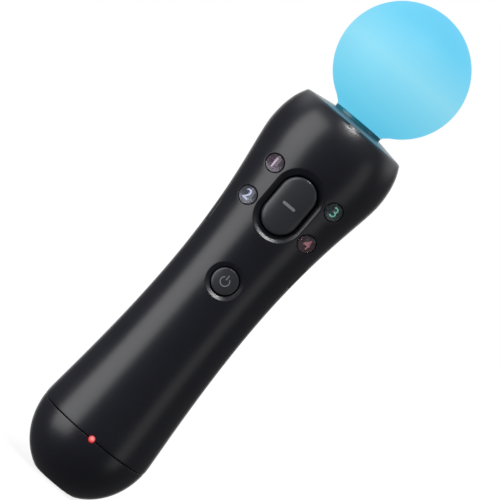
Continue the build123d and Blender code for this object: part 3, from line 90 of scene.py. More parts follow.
# Shells: their wall, the gaps at their joints, and the tongues and ring behind them
WALL = 2.0
PARTING_HEIGHT, PARTING_GAP = 20.4, 0.35
SEAM_GAP = 0.16
TONGUE_TURN, TONGUE_DEPTH, TONGUE_WALL = 0.07, 2.02, 0.8
TONGUE_ENDS = (1.0, 3.0)
SPIGOT_LINE = [(18.9, 16.4), (18.9, 25.0), (17.4, 25.0), (17.4, 16.4)]
STRAP_FLOOR = ((-4.6, 9.9, 3.0), (4.6, 11.1, 10.8))

# How finely mouldings are divided, and how their walls turn into their openings
LINE_SAMPLES = 400
UNROLL_RADIUS = 20.0
SHELL_STEP, TAIL_STEP, RING_STEP = 1.5, 1.3, 0.8
SPREAD_KEEP = 0.35
EDGE_TURNS, LIP_TURNS, TOP_TURNS, DISH_RINGS = 3, 4, 6, 7
HEX_ROWS = 0.866
DISH_MARGINS, DISH_WALL = (0.12, 0.5), 0.6
WALL_TURN, LEAST_SLANT = 2.5, 0.35
FLOOR_REACH = 0.9
CORNER_SHARE = 0.45

# Light ball, collar, and shoulder plate with its tab
BALL_CENTRE, BALL_RADIUS, BALL_WALL = 177.2, 22.8, 1.8
NECK_RADIUS, NECK_BORE = 9.55, 7.1
NECK_FOOT, NECK_TOP, NECK_JOIN = 155.5, 155.9, 156.6
COLLAR_LINE = [(9.3, 150.0), (9.3, 155.45), (8.65, 155.45), (8.65, 150.0)]
PLATE_LINE = [(18.85, 151.3), (18.85, 152.85), (9.45, 154.35), (9.45, 151.3)]
TAB_SIDE = [(-19.95, 151.75), (-19.95, 152.05), (-19.3, 152.95), (-18.4, 152.95), (-18.4, 151.75)]

# Buttons
ACTION_HEIGHT, HOME_HEIGHT, SIDE_PLACE = 119.6, 87.4, (-4.3, 103.0)
FACE_PLACES = {
    "upper_left": (-12.5, 127.3),
    "upper_right": (12.5, 127.3),
    "lower_left": (-12.5, 113.7),
    "lower_right": (12.5, 113.7),
}
FACE_NUMBERS = {"upper_left": 1, "lower_left": 2, "upper_right": 3, "lower_right": 4}
FRONT_FLOOR, SIDE_FLOOR = -8.5, 14.3
CAP_RADIUS, CAP_ROUND, CAP_FLOOR = 2.95, 0.15, 0.5
CAP_SPOKES, CAP_RINGS = 72, 18
MARK_THICK, MARK_EDGE = 0.04, 0.5
BAR_STAND, HOME_STAND = 0.6, 0.02
HOME_ARC = (125.0, 415.0)
HOME_BAR_PLACE, HOME_BAR_HALF = (0.0, HOME_HEIGHT + 1.5), (0.18, 0.95)
NUMBER_DEPTH, NUMBER_STAND, NUMBER_THICK, NUMBER_SWELL = 0.75, 0.04, 0.03, 0.02

# Rubber mat and pad, and the trigger's spring, as the frame has them
MAT_BACK, MAT_SHEET, MAT_CORNER = -6.0, 0.6, 2.0
MAT_OUTLINE = [
    (-2.9, 84.5), (2.9, 84.5), (2.9, 110.8), (15.1, 110.8),
    (15.1, 130.2), (-15.1, 130.2), (-15.1, 110.8), (-2.9, 110.8),
]
DOME_RISE, DOME_KEEP = 1.8, 0.42
DOME_LINE = [
    (2.6, 0.0), (2.35, 0.15), (1.75, DOME_RISE - 0.45), (1.6, DOME_RISE), (0.0, DOME_RISE),
    (0.0, DOME_RISE - 0.6), (1.05, DOME_RISE - 0.6), (1.3, DOME_RISE - 0.9), (1.9, 0.0),
]
PAD_FOOT, PAD_HEIGHT, PAD_KEEP = 4.4, 132.0, 0.31
PAD_LINE = [
    (0.0, 0.0), (1.8, 0.0), (1.8, 0.7), (1.45, 0.95), (1.5, 1.6),
    (1.2, 1.85), (1.25, 2.6), (0.95, 2.85), (0.9, 4.0), (0.0, 4.0),
]
PIVOT_DEPTH, PIVOT_HEIGHT = 16.5, 142.5
SPRING_RADIUS, SPRING_WIRE, SPRING_PITCH, SPRING_TURNS = 3.1, 0.3, 1.1, 4.25
SPRING_LEGS = (9.0, 3.6)

# Case screws: their outline from tip to head, and the two arms of the cross that is cut into it
SCREW_DEPTH = 6.0
SCREW_LINE = [
    (0.0, -5.0), (0.85, -4.6), (1.0, -4.0), (1.0, 0.0), (1.9, 0.0),
    (1.9, 0.75), (1.5, 1.3), (0.7, 1.5), (0.0, 1.52),
]
CROSS_ARMS = ((1.15, 0.28), (0.28, 1.15))
CROSS_FLOOR, CROSS_TOP = 0.7, 3.0

# Camera
VIEW_DISTANCE = 1400.0
PICTURE_WIDTH = 164.5
VIEW_HEIGHT = 99.85
VIEW_RISE, VIEW_TURN, VIEW_ROLL = 2.1, -1.3, 40.25

# Lamps: direction from the middle of the wand, then distance, width and height in metres
LAMP_AIM = (0.0, 0.0, 0.1)
KEY_ACROSS, KEY_LAMP = -0.02, (1.0, 0.26, 0.16)
STRIP_LAMP = ((-0.875, -0.485, 0.05), 1.0, 0.85, 1.3)
FILL_LAMP = ((0.90, -0.44, 0.0), 1.2, 0.45, 1.2)


def bezier(points):
    """Points along a cubic curve."""
    t = np.linspace(0.0, 1.0, LINE_SAMPLES)[:, None]
    a, b, c, d = points
    return a * (1 - t) ** 3 + 3 * b * t * (1 - t) ** 2 + 3 * c * t**2 * (1 - t) + d * t**3


def side_line():
    """The handle's side as arc length, radius and height, from the middle of the flat to inside the rim."""
    flat, tail = np.array((TAIL_FLAT_RADIUS, 0.0)), np.array((TAIL_RADIUS, TAIL_HEIGHT))
    waist, head = np.array((WAIST_RADIUS, WAIST_HEIGHT)), np.array((HEAD_RADIUS, HEAD_HEIGHT))
    rim = np.array((RIM_RADIUS, RIM_HEIGHT - RIM_ROUND))
    dome, grip, flare, crown = tail - flat, waist - tail, head - waist, rim - head
    cubics = [
        (flat, flat + dome * DOME_SHARES[:2], tail - (0.0, dome[1] * DOME_SHARES[2]), tail),
        (tail, tail + (0.0, grip[1] * GRIP_SHARES[0]), waist - (0.0, grip[1] * GRIP_SHARES[1]), waist),
        (waist, waist + (0.0, flare[1] * FLARE_SHARES[0]), head - (0.0, flare[1] * FLARE_SHARES[1]), head),
        (head, head + (0.0, crown[1] * CROWN_SHARES[0]), rim - crown * CROWN_SHARES[1:], rim),
    ]
    turn = np.linspace(0.0, math.pi / 2, LINE_SAMPLES // 4)[:, None]
    rounding = rim - (RIM_ROUND, 0.0) + RIM_ROUND * np.hstack([np.cos(turn), np.sin(turn)])
    curves = [bezier(points) for points in cubics] + [rounding]
    line = np.vstack([np.linspace((0.0, 0.0), flat, LINE_SAMPLES // 4)] + [curve[1:] for curve in curves])
    arc = np.concatenate([[0.0], np.cumsum(np.hypot(*np.diff(line, axis=0).T))])
    return arc, line[:, 0], line[:, 1]


ARC, RADIUS, HEIGHT = side_line()
DOME_END = int(np.argmax(HEIGHT >= TAIL_HEIGHT))
SIDE_START = int(np.argmax(HEIGHT > 0.0)) - 1


def arc_of_height(height):
    return np.interp(height, HEIGHT[SIDE_START:], ARC[SIDE_START:])


def radius_of_height(height):
    return np.interp(height, HEIGHT[SIDE_START:], RADIUS[SIDE_START:])


def skin_depth(across, height, inset):
    """The y value of the handle's front, a distance below its surface."""
    return -np.sqrt(np.maximum((radius_of_height(height) - inset) ** 2 - across**2, 0.0))


def skin_points(angle, arc):
    """Places on the handle's side, and the outward directions there."""
    radius, height = np.interp(arc, ARC, RADIUS), np.interp(arc, ARC, HEIGHT)
    reach = 0.05
    ahead, behind = np.minimum(arc + reach, ARC[-1]), np.maximum(arc - reach, 0.0)
    lines = (RADIUS, HEIGHT)
    along = np.stack([np.interp(ahead, ARC, line) - np.interp(behind, ARC, line) for line in lines])
    along /= np.hypot(*along)
    around = np.stack([np.sin(angle), -np.cos(angle)])
    places = np.stack([radius * around[0], radius * around[1], height], axis=1)
    normals = np.stack([along[1] * around[0], along[1] * around[1], -along[0]], axis=1)
    return places, normals


def rounded_box_distance(points, centre, half, corner):
    """Distance of points from a box with round corners, below zero inside it."""
    q = np.abs(points - centre) - np.array(half) + corner
    return np.hypot(*np.maximum(q, 0.0).T) + np.minimum(q.max(axis=1), 0.0) - corner


def rounded_box_ring(centre, half, corner, step):
    """Points round a box with round corners, in order."""
    wide, tall = half[0] - corner, half[1] - corner
    turns = max(3, int(math.ceil(corner * math.pi / 2 / step)))
    points = []
    for x, y, start in ((wide, tall, 0.0), (-wide, tall, 90.0), (-wide, -tall, 180.0), (wide, -tall, 270.0)):
        for turn in range(turns + 1):
            angle = math.radians(start + 90.0 * turn / turns)
            points.append((x + corner * math.cos(angle), y + corner * math.sin(angle)))
    ring = []
    for here, there in zip(points, points[1:] + points[:1]):
        length = math.dist(here, there)
        if length < step * 0.05:
            continue
        pieces = max(1, round(length / step))
        for share in (piece / pieces for piece in range(pieces)):
            ring.append((here[0] + (there[0] - here[0]) * share, here[1] + (there[1] - here[1]) * share))
    return np.array(ring) + centre


def quarter_steps(radius, count):
    """Distances from an edge at which points follow its rounding, closer together near the edge."""
    return [radius * (1.0 - math.cos(math.pi / 2 * turn / count)) for turn in range(count + 1)]


def round_over(distance, radius):
    """How far a surface drops where it rounds over towards an edge that is this far away."""
    inside = np.clip(radius - distance, 0.0, radius)
    return radius - np.sqrt(np.maximum(radius**2 - inside**2, 0.0))


# Axes that each view shows, and the direction into the wand
VIEWS = {
    "front": ((0, 2), (0.0, 1.0, 0.0)),
    "back": ((0, 2), (0.0, -1.0, 0.0)),
    "left": ((1, 2), (1.0, 0.0, 0.0)),
    "right": ((1, 2), (-1.0, 0.0, 0.0)),
    "below": ((0, 1), (0.0, 0.0, 1.0)),
}


class Opening:
    """A hole through the handle's side, or the rim of a button in one, seen square on from one view.

    dish is how far the bowl round it reaches across and along the wand, and how deep it is at the hole.
    """

    def __init__(self, view, centre, half, corner, lip=0.15, dish=None, floor=None, step=0.5):
        self.view, self.centre, self.half, self.corner = view, np.array(centre), half, corner
        self.lip, self.dish, self.floor, self.step = lip, dish, floor, step
        self.axes, inward = VIEWS[view]
        self.inward = np.array(inward)
        self.depth_axis = int(np.argmax(np.abs(self.inward)))

    def grown(self, grow):
        return (self.half[0] + grow[0], self.half[1] + grow[1]), self.corner + min(grow)

    def distance(self, places, grow=(0.0, 0.0)):
        return rounded_box_distance(places[:, self.axes], self.centre, *self.grown(grow))

    def near(self, places):
        """Which places are on the side of the wand that this opening is on."""
        return places @ self.inward < (0.0 if self.view != "below" else TAIL_HEIGHT / 2)

    def around(self, places, reach):
        """Which places are in this opening or this close to it."""
        return (self.distance(places) < reach) & self.near(places)

    def ring(self, grow=(0.0, 0.0)):
        return rounded_box_ring(self.centre, *self.grown(grow), self.step)

    def ring_steps(self):
        """Growths that place rings of points close together round the lip, and over the dish."""
        steps = [(grow, grow) for grow in quarter_steps(self.lip, LIP_TURNS)]
        if self.dish is not None:
            lip, (wide, tall) = self.lip, self.dish[:2]
            for part in range(1, DISH_RINGS + 1):
                steps.append(tuple(lip + (reach - lip) * part / DISH_RINGS for reach in (wide, tall)))
            steps += [(wide + margin, tall + margin) for margin in DISH_MARGINS]
        return steps

    def cleared(self, keep):
        """How far loose points stay away from the rings."""
        if self.dish is None:
            return (self.lip + keep,) * 2
        return tuple(reach + DISH_MARGINS[-1] + keep for reach in self.dish[:2])

    def depth(self, places):
        """How deep the dish round the opening is at each place."""
        if self.dish is None:
            return np.zeros(len(places))
        inner = np.maximum(self.distance(places), 0.0)
        outer = np.maximum(-self.distance(places, self.dish[:2]), 0.0)
        share = inner / np.maximum(inner + outer, 1e-6)
        return np.where(self.near(places) & (outer > 0.0), self.dish[2] * (1.0 - share), 0.0)


def to_skin(view, flat):
    """Angle and arc length of points of a view, carried on to the handle's side."""
    a, b = flat[:, 0], flat[:, 1]
    if view == "below":
        return np.arctan2(a, -b), np.interp(np.hypot(a, b), RADIUS[:DOME_END], ARC[:DOME_END])
    share = a / radius_of_height(b)
    if view in ("front", "back"):
        angle = np.arcsin(np.clip(share, -1.0, 1.0))
        angle = angle if view == "front" else math.pi - angle
    else:
        angle = np.arccos(np.clip(-share, -1.0, 1.0))
        angle = -angle if view == "left" else angle
    return angle, arc_of_height(b)


class Sheet:
    """How a patch of the handle's side is laid out flat: unrolled, or for the tail spread from its middle."""

    def __init__(self, polar=False):
        self.polar = polar

    def flat(self, angle, arc):
        if self.polar:
            return np.stack([arc * np.sin(angle), -arc * np.cos(angle)], axis=1)
        return np.stack([angle * UNROLL_RADIUS, arc], axis=1)

    def back(self, flat):
        if self.polar:
            return np.arctan2(flat[:, 0], -flat[:, 1]), np.hypot(flat[:, 0], flat[:, 1])
        return flat[:, 0] / UNROLL_RADIUS, flat[:, 1]

    def outward(self, flat, triangles):
        """The triangles, each turned so that it faces out of the wand."""
        places, normals = skin_points(*self.back(flat))
        a, b, c = (places[triangles[:, k]] for k in range(3))
        facing = np.einsum("ij,ij->i", np.cross(b - a, c - a), normals[triangles[:, 0]])
        turned_round = triangles.copy()
        turned_round[facing < 0] = turned_round[facing < 0][:, ::-1]
        return turned_round


# Openings of the handle, and the rims of the buttons in them
ACTION_WELL = Opening(
    "front", (0.0, ACTION_HEIGHT), (6.8, 10.95), 6.8, lip=0.2, dish=(1.95, 2.5, 1.85), floor=-9.2, step=0.4
)
ACTION_RIM = Opening("front", (0.0, ACTION_HEIGHT), (6.35, 10.5), 6.35, step=0.4)
HOME_WELL = Opening("front", (0.0, HOME_HEIGHT), (4.9, 4.9), 4.9, dish=(1.6, 1.6, 1.0), floor=-9.2, step=0.35)
HOME_RIM = Opening("front", (0.0, HOME_HEIGHT), (4.6, 4.6), 4.6, step=0.35)
FACE_HOLES = [
    Opening("front", place, (3.23, 3.23), 3.23, lip=0.25, step=0.3) for place in FACE_PLACES.values()
]
SIDE_HOLES = [Opening(view, SIDE_PLACE, (1.75, 4.55), 1.75, lip=0.1, step=0.35) for view in ("left", "right")]
SIDE_RIMS = {side: Opening(side, SIDE_PLACE, (1.62, 4.42), 1.62, step=0.3) for side in ("left", "right")}
LIGHT_HOLE = Opening("front", (0.0, PARTING_HEIGHT), (1.3, 1.3), 1.3, lip=0.1, step=0.25)
TRIGGER_SLOT = Opening("back", (0.0, 126.9), (8.4, 21.3), 0.8, lip=0.3, step=0.6)
SCREW_PLACES = [(side * x, z) for x, z in ((11.0, 29.6), (9.0, 95.0), (13.0, 143.0)) for side in (-1, 1)]
SCREW_WELLS = [
    Opening("back", place, (2.15, 2.15), 2.15, lip=0.2, floor=SCREW_DEPTH, step=0.35)
    for place in SCREW_PLACES
]
CHARGE_MOUTH = Opening("below", (0.0, 3.9), (4.0, 2.1), 0.5, step=0.3)
PORT_MOUTH = Opening("below", (0.0, -3.9), (5.95, 2.25), 1.05, step=0.3)
CONTACT_SLOTS = [Opening("below", (x, 0.0), (0.95, 2.45), 0.3, lip=0.1, step=0.3) for x in (-11.5, 11.5)]
STRAP_POCKET = Opening("back", (0.0, 6.9), (4.0, 3.3), 0.6, lip=0.4, floor=10.9, step=0.35)
RESET_HOLE = Opening("back", (0.0, 15.0), (0.9, 0.9), 0.9, floor=15.4, step=0.2)
FRONT_OPENINGS = [ACTION_WELL, HOME_WELL, *FACE_HOLES, *SIDE_HOLES, LIGHT_HOLE]
REAR_OPENINGS = [TRIGGER_SLOT, *SCREW_WELLS]
TAIL_OPENINGS = [CHARGE_MOUTH, PORT_MOUTH, *CONTACT_SLOTS, STRAP_POCKET, RESET_HOLE, LIGHT_HOLE]


def linked(name, data):
    """A new object in the scene."""
    obj = bpy.data.objects.new(name, data)
    bpy.context.scene.collection.objects.link(obj)
    return obj


def mesh_object(name, points, faces):
    """A smooth mesh object from points in millimetres."""
    mesh = bpy.data.meshes.new(name)
    places = [tuple(point * MM) for point in np.asarray(points)]
    mesh.from_pydata(places, [], [tuple(map(int, face)) for face in faces])
    mesh.validate()
    mesh.shade_smooth()
    return linked(name, mesh)


def worked_object(name, work, sharp_degrees=None):
    """A smooth mesh object from a bmesh in millimetres."""
    bmesh.ops.scale(work, vec=(MM, MM, MM), verts=work.verts)
    mesh = bpy.data.meshes.new(name)
    work.to_mesh(mesh)
    work.free()
    mesh.shade_smooth()
    if sharp_degrees:
        mesh.set_sharp_from_angle(angle=math.radians(sharp_degrees))
    return linked(name, mesh)


def evaluated_mesh(obj):
    """The mesh that an object's curve, text or modifiers make."""
    bpy.context.view_layer.update()
    return bpy.data.meshes.new_from_object(obj.evaluated_get(bpy.context.evaluated_depsgraph_get()))


def tidy_normals(obj):
    """Makes a closed mesh's faces point outwards."""
    work = bmesh.new()
    work.from_mesh(obj.data)
    bmesh.ops.remove_doubles(work, verts=work.verts, dist=1e-7)
    bmesh.ops.recalc_face_normals(work, faces=work.faces)
    work.to_mesh(obj.data)
    work.free()
    obj.data.update()


def joined(first, *others):
    """One object made of several."""
    pieces = [first, *others]
    with bpy.context.temp_override(
        object=first, active_object=first, selected_objects=pieces, selected_editable_objects=pieces
    ):
        bpy.ops.object.join()
    return first


def stands_for(obj, body, slot, *nodes):
    """Makes a piece ride on a body, if one is given, take a finish and stand for the frame's nodes."""
    if body:
        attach(obj, body)
    obj["finish"] = slot
    if nodes:
        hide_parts(*nodes)


def hex_points(low, high, step):
    """Points of a triangular pattern that fills a rectangle."""
    rows, columns = np.arange(low[1], high[1], step * HEX_ROWS), np.arange(low[0], high[0], step)
    grid = []
    for index, row in enumerate(rows):
        shift = step / 2 if index % 2 else 0.0
        grid.append(np.stack([columns + shift, np.full(len(columns), row)], axis=1))
    return np.vstack(grid)


def triangulated(flat_points, loops):
    """Triangles over points of a plane, keeping to the closed loops given as lists of indices."""
    edges = [(int(a), int(b)) for loop in loops for a, b in zip(loop, np.roll(loop, -1))]
    result = delaunay_2d_cdt([Vector(p) for p in flat_points], edges, [], 0, 1e-5)
    return np.array([tuple(v) for v in result[0]]), np.array(result[2])


def shell_object(name, outer, inner, triangles):
    """A closed shell from an outer and an inner layer of points that share their triangles."""
    used = np.unique(triangles)
    remap = np.full(len(outer), -1)
    remap[used] = np.arange(len(used))
    outer, inner, triangles = outer[used], inner[used], remap[triangles]
    edges = {(a, b) for triangle in triangles for a, b in zip(triangle, np.roll(triangle, -1))}
    count = len(outer)
    faces = [tuple(t) for t in triangles] + [(c + count, b + count, a + count) for a, b, c in triangles]
    faces += [(b, a, a + count, b + count) for a, b in sorted(edges) if (b, a) not in edges]
    return mesh_object(name, np.vstack([outer, inner]), faces)


class Layout:
    """Points laid out flat: rings that triangles keep to, and loose points between them."""

    def __init__(self):
        self.points, self.loops, self.count = [], [], 0

    def add(self, flat, closed=True):
        if closed:
            self.loops.append(np.arange(self.count, self.count + len(flat)))
        self.points.append(flat)
        self.count += len(flat)

    def triangles(self):
        return triangulated(np.vstack(self.points), self.loops)


def edge_rings(edge, inset, polar):
    """Points along the edge of a patch of the handle's side, laid out flat, a distance inside it."""
    low_angle, high_angle, low_arc, high_arc = edge
    if polar:
        count = int(2 * math.pi * RADIUS[DOME_END] / RING_STEP)
        turn = np.linspace(0.0, 2 * math.pi, count, endpoint=False)
        return Sheet(polar).flat(turn, np.full(count, high_arc - inset))
    half = ((high_angle - low_angle) / 2 * UNROLL_RADIUS - inset, (high_arc - low_arc) / 2 - inset)
    middle = ((high_angle + low_angle) / 2 * UNROLL_RADIUS, (high_arc + low_arc) / 2)
    corners = [np.array(corner) * half + middle for corner in ((-1, -1), (1, -1), (1, 1), (-1, 1))]
    ring = []
    for start, end in zip(corners, corners[1:] + corners[:1]):
        pieces = int(max(1, np.hypot(*(end - start)) / RING_STEP))
        ring.append(start + (end - start) * (np.arange(pieces) / pieces)[:, None])
    return np.vstack(ring)


def moulding(name, edge, openings, step, edge_round, polar=False):
    """A closed moulded shell over a stretch of the handle's side, with its openings and their dishes.

    edge is (lowest angle, highest angle, lowest arc, highest arc) in radians and millimetres.
    """
    sheet, layout = Sheet(polar), Layout()
    low_angle, high_angle, low_arc, high_arc = edge

    def edge_distance(angle, arc):
        if polar:
            return high_arc - arc
        across = np.minimum(angle - low_angle, high_angle - angle) * UNROLL_RADIUS
        return np.minimum(across, np.minimum(arc - low_arc, high_arc - arc))

    for inset in quarter_steps(edge_round, EDGE_TURNS):
        layout.add(edge_rings(edge, inset, polar))
    for opening in openings:
        for grow in opening.ring_steps():
            angle, arc = to_skin(opening.view, opening.ring(grow))
            keep = edge_distance(angle, arc) > -1e-6
            places, _ = skin_points(angle, arc)
            for other in openings:
                if other is not opening:
                    keep &= ~other.around(places, other.lip + 0.1)
            layout.add(sheet.flat(angle, arc)[keep], closed=bool(np.all(keep)))

    if polar:
        spread = hex_points((-high_arc, -high_arc), (high_arc, high_arc), step)
    else:
        low, high = (low_angle * UNROLL_RADIUS, low_arc), (high_angle * UNROLL_RADIUS, high_arc)
        spread = hex_points(low, high, step)
    angle, arc = sheet.back(spread)
    keep = edge_distance(angle, arc) > edge_round + step * SPREAD_KEEP
    places, _ = skin_points(angle, arc)
    for opening in openings:
        reach = opening.cleared(step * SPREAD_KEEP)
        keep &= ~((opening.distance(places, reach) < 0.0) & opening.near(places))
    layout.add(spread[keep], closed=False)

    flat, triangles = layout.triangles()
    angle, arc = sheet.back(flat[triangles].mean(axis=1))
    places, _ = skin_points(angle, arc)
    keep = edge_distance(angle, arc) > 0.0
    for opening in openings:
        keep &= ~opening.around(places, 0.0)
    triangles = sheet.outward(flat, triangles[keep])

    angle, arc = sheet.back(flat)
    places, normals = skin_points(angle, arc)
    outer = places - normals * round_over(np.maximum(edge_distance(angle, arc), 0.0), edge_round)[:, None]
    direction, thick = -normals, np.full(len(places), WALL)
    for opening in openings:
        near, distance = opening.near(places), np.maximum(opening.distance(places), 0.0)
        lip = np.where(near, round_over(distance, opening.lip), 0.0)
        depth = opening.depth(places)
        outer += opening.inward * (lip + depth)[:, None]
        weight = np.where(near, np.exp(-((distance / WALL_TURN) ** 2)), 0.0)[:, None]
        direction = direction * (1.0 - weight) + opening.inward * weight
        thick = np.maximum(thick, np.where(depth > 0.0, depth + WALL * DISH_WALL, 0.0))
    direction /= np.linalg.norm(direction, axis=1)[:, None]
    slant = np.clip(np.einsum("ij,ij->i", -normals, direction), LEAST_SLANT, 1.0)
    inner = places + direction * (thick / slant)[:, None]
    for opening in openings:
        if opening.floor is not None:
            down = opening.around(places, FLOOR_REACH)
            inner[down] = places[down]
            inner[down, opening.depth_axis] = opening.floor
    return shell_object(name, outer, inner, triangles)


def button_top(name, opening, proud, floor, step, rounding, crown=0.0):
    """A closed button whose top follows the handle's side: its walls run straight down to a floor.

    proud is how far the top stands out of the side, and crown how much more its middle does.
    """
    sheet, layout = Sheet(), Layout()
    for inset in quarter_steps(rounding, TOP_TURNS):
        layout.add(sheet.flat(*to_skin(opening.view, opening.ring((-inset, -inset)))))
    reach = max(opening.half) + step
    spread = hex_points(opening.centre - reach, opening.centre + reach, step)
    inside = rounded_box_distance(spread, opening.centre, opening.half, opening.corner)
    spread = spread[inside < -rounding - step * SPREAD_KEEP]
    layout.add(sheet.flat(*to_skin(opening.view, spread)), closed=False)
    flat, triangles = layout.triangles()
    places, _ = skin_points(*sheet.back(flat[triangles].mean(axis=1)))
    triangles = sheet.outward(flat, triangles[opening.distance(places) < 0.0])
    places, _ = skin_points(*sheet.back(flat))
    inside = np.maximum(-opening.distance(places), 0.0)
    share = np.clip(inside / min(opening.half), 0.0, 1.0)
    bulge = crown * (1.0 - (1.0 - share) ** 2)
    outer = places - opening.inward * (proud + bulge - round_over(inside, rounding))[:, None]
    inner = places.copy()
    inner[:, opening.depth_axis] = floor
    return shell_object(name, outer, inner, triangles)


def turned(name, line, segments=128):
    """A solid of revolution about the wand's axis from a closed line of (radius, height) points."""
    angles = np.linspace(0.0, 2 * math.pi, segments, endpoint=False)
    points, rings = [], []
    for radius, height in np.asarray(line, float):
        start = len(points)
        if radius < 1e-6:
            points.append((0.0, 0.0, height))
        else:
            points.extend((radius * math.sin(a), -radius * math.cos(a), height) for a in angles)
        rings.append(range(start, len(points)))
    faces = []
    for here, there in zip(rings, rings[1:] + rings[:1]):
        if len(here) == 1 and len(there) == 1:
            continue
        for k in range(segments):
            j = (k + 1) % segments
            quad = [here[k % len(here)], here[j % len(here)], there[j % len(there)], there[k % len(there)]]
            faces.append(tuple(dict.fromkeys(quad)))
    obj = mesh_object(name, np.array(points), faces)
    tidy_normals(obj)
    return obj


def turned_across(name, line, across, height, foot, forward=True, segments=64):
    """A solid of revolution about a line along Y: (radius, rise) points, the rise measured from a foot."""
    obj = turned(name, line, segments)
    for vert in obj.data.vertices:
        x, y, rise = vert.co
        vert.co = (x + across * MM, foot * MM - rise if forward else foot * MM + rise, y + height * MM)
    if not forward:
        obj.data.flip_normals()
    obj.data.update()
    return obj


def round_line(points, radius, count=5):
    """A closed line of points with each corner rounded, apart from corners on the axis."""
    points = [np.array(p, float) for p in points]
    rounded = []
    for before, here, after in zip(points[-1:] + points[:-1], points, points[1:] + points[:1]):
        if abs(here[0]) < 1e-6:
            rounded.append(here)
            continue
        back, ahead = before - here, after - here
        cut = min(radius, np.hypot(*back) * CORNER_SHARE, np.hypot(*ahead) * CORNER_SHARE)
        start, end = here + back / np.hypot(*back) * cut, here + ahead / np.hypot(*ahead) * cut
        for t in np.linspace(0.0, 1.0, count):
            rounded.append(start * (1 - t) ** 2 + 2 * here * t * (1 - t) + end * t**2)
    return rounded


def arc_points(height, radius, start, end, count):
    """(radius, height) points on a circle whose middle is on the axis, between two angles in degrees."""
    turn = np.radians(np.linspace(start, end, count))
    return np.stack([radius * np.cos(turn), height + radius * np.sin(turn)], axis=1)


def band(name, angles, arcs, offset, thick, counts):
    """A closed curved strip inside the handle's side, at a distance below it."""
    turn, run = np.linspace(*angles, counts[0]), np.linspace(*arcs, counts[1])
    grid = np.array([(a, s) for s in run for a in turn])
    places, normals = skin_points(grid[:, 0], grid[:, 1])
    triangles = []
    for row in range(counts[1] - 1):
        for here in range(row * counts[0], (row + 1) * counts[0] - 1):
            triangles.append((here, here + 1, here + counts[0] + 1))
            triangles.append((here, here + counts[0] + 1, here + counts[0]))
    outer, inner = places - normals * offset, places - normals * (offset + thick)
    obj = shell_object(name, outer, inner, np.array(triangles))
    tidy_normals(obj)
    return obj


def closed_box(name, low, high, rounding=0.2):
    """A block with rounded edges between two corners."""
    work = bmesh.new()
    bmesh.ops.create_cube(work, size=1.0)
    bmesh.ops.scale(work, vec=[b - a for a, b in zip(low, high)], verts=work.verts)
    bmesh.ops.translate(work, vec=[(a + b) / 2 for a, b in zip(low, high)], verts=work.verts)
    bmesh.ops.bevel(work, geom=work.edges[:], offset=rounding, segments=2, profile=0.5, affect="EDGES")
    return worked_object(name, work)


def extruded(name, outline, axis, ends, rounding, rims_only=False):
    """A plate of an outline between two places along an axis, with all its edges or only its rims rounded."""
    work = bmesh.new()
    rings = [[work.verts.new(np.insert(point, axis, end)) for point in outline] for end in ends]
    first, second = rings
    for ring in rings:
        work.faces.new(ring)
    for k in range(len(outline)):
        j = (k + 1) % len(outline)
        work.faces.new((first[k], first[j], second[j], second[k]))
    bmesh.ops.recalc_face_normals(work, faces=work.faces)
    edges = work.edges[:]
    if rims_only:
        edges = [edge for edge in edges if abs(edge.verts[0].co[axis] - edge.verts[1].co[axis]) < 1e-6]
    bmesh.ops.bevel(work, geom=edges, offset=rounding, segments=2, profile=0.5, affect="EDGES")
    return worked_object(name, work, 40.0)


def curve_data(name, dimensions, outlines, closed):
    """A curve of straight runs through points in order."""
    curve = bpy.data.curves.new(name, "CURVE")
    curve.dimensions = dimensions
    for outline in outlines:
        spline = curve.splines.new("POLY")
        spline.points.add(len(outline) - 1)
        for point, place in zip(spline.points, outline):
            point.co = (*place, 0.0, 1.0) if len(place) == 2 else (*place, 1.0)
        spline.use_cyclic_u = closed
    return curve


def wire_piece(name, points, radius):
    """A round wire through points in millimetres, with closed ends."""
    curve = curve_data(name, "3D", [[[value * MM for value in point] for point in points]], closed=False)
    curve.bevel_depth, curve.bevel_resolution, curve.use_fill_caps = radius * MM, 3, True
    holder = linked(name + "_line", curve)
    mesh = evaluated_mesh(holder)
    bpy.data.objects.remove(holder)
    mesh.name = name
    mesh.shade_smooth()
    obj = linked(name, mesh)
    tidy_normals(obj)
    mesh.set_sharp_from_angle(angle=math.radians(50.0))
    return obj


def flat_mark(name, shapes, stand):
    """A thin raised mark on the handle's front from closed outlines of (across, height) points."""
    curve = curve_data(name, "2D", shapes, closed=True)
    curve.fill_mode, curve.extrude = "BOTH", MARK_THICK / 2
    return projected_mark(name, curve, 0.0, stand)


def projected_mark(name, curve, inset, stand):
    """Turns a flat curve or text into a mesh that lies on the handle's front, or a distance below it."""
    holder = linked(name + "_flat", curve)
    mesh = evaluated_mesh(holder)
    bpy.data.objects.remove(holder)
    work = bmesh.new()
    work.from_mesh(mesh)
    bmesh.ops.remove_doubles(work, verts=work.verts, dist=1e-4)
    bmesh.ops.triangulate(work, faces=work.faces)
    long_edges = [edge for edge in work.edges if edge.calc_length() > MARK_EDGE]
    bmesh.ops.subdivide_edges(work, edges=long_edges, cuts=2)
    bmesh.ops.triangulate(work, faces=work.faces)
    for vert in work.verts:
        x, z, lift = vert.co
        vert.co = Vector((x, float(skin_depth(x, z, inset)) - stand - lift, z)) * MM
    bmesh.ops.recalc_face_normals(work, faces=work.faces)
    work.to_mesh(mesh)
    work.free()
    mesh.name = name
    return linked(name, mesh)


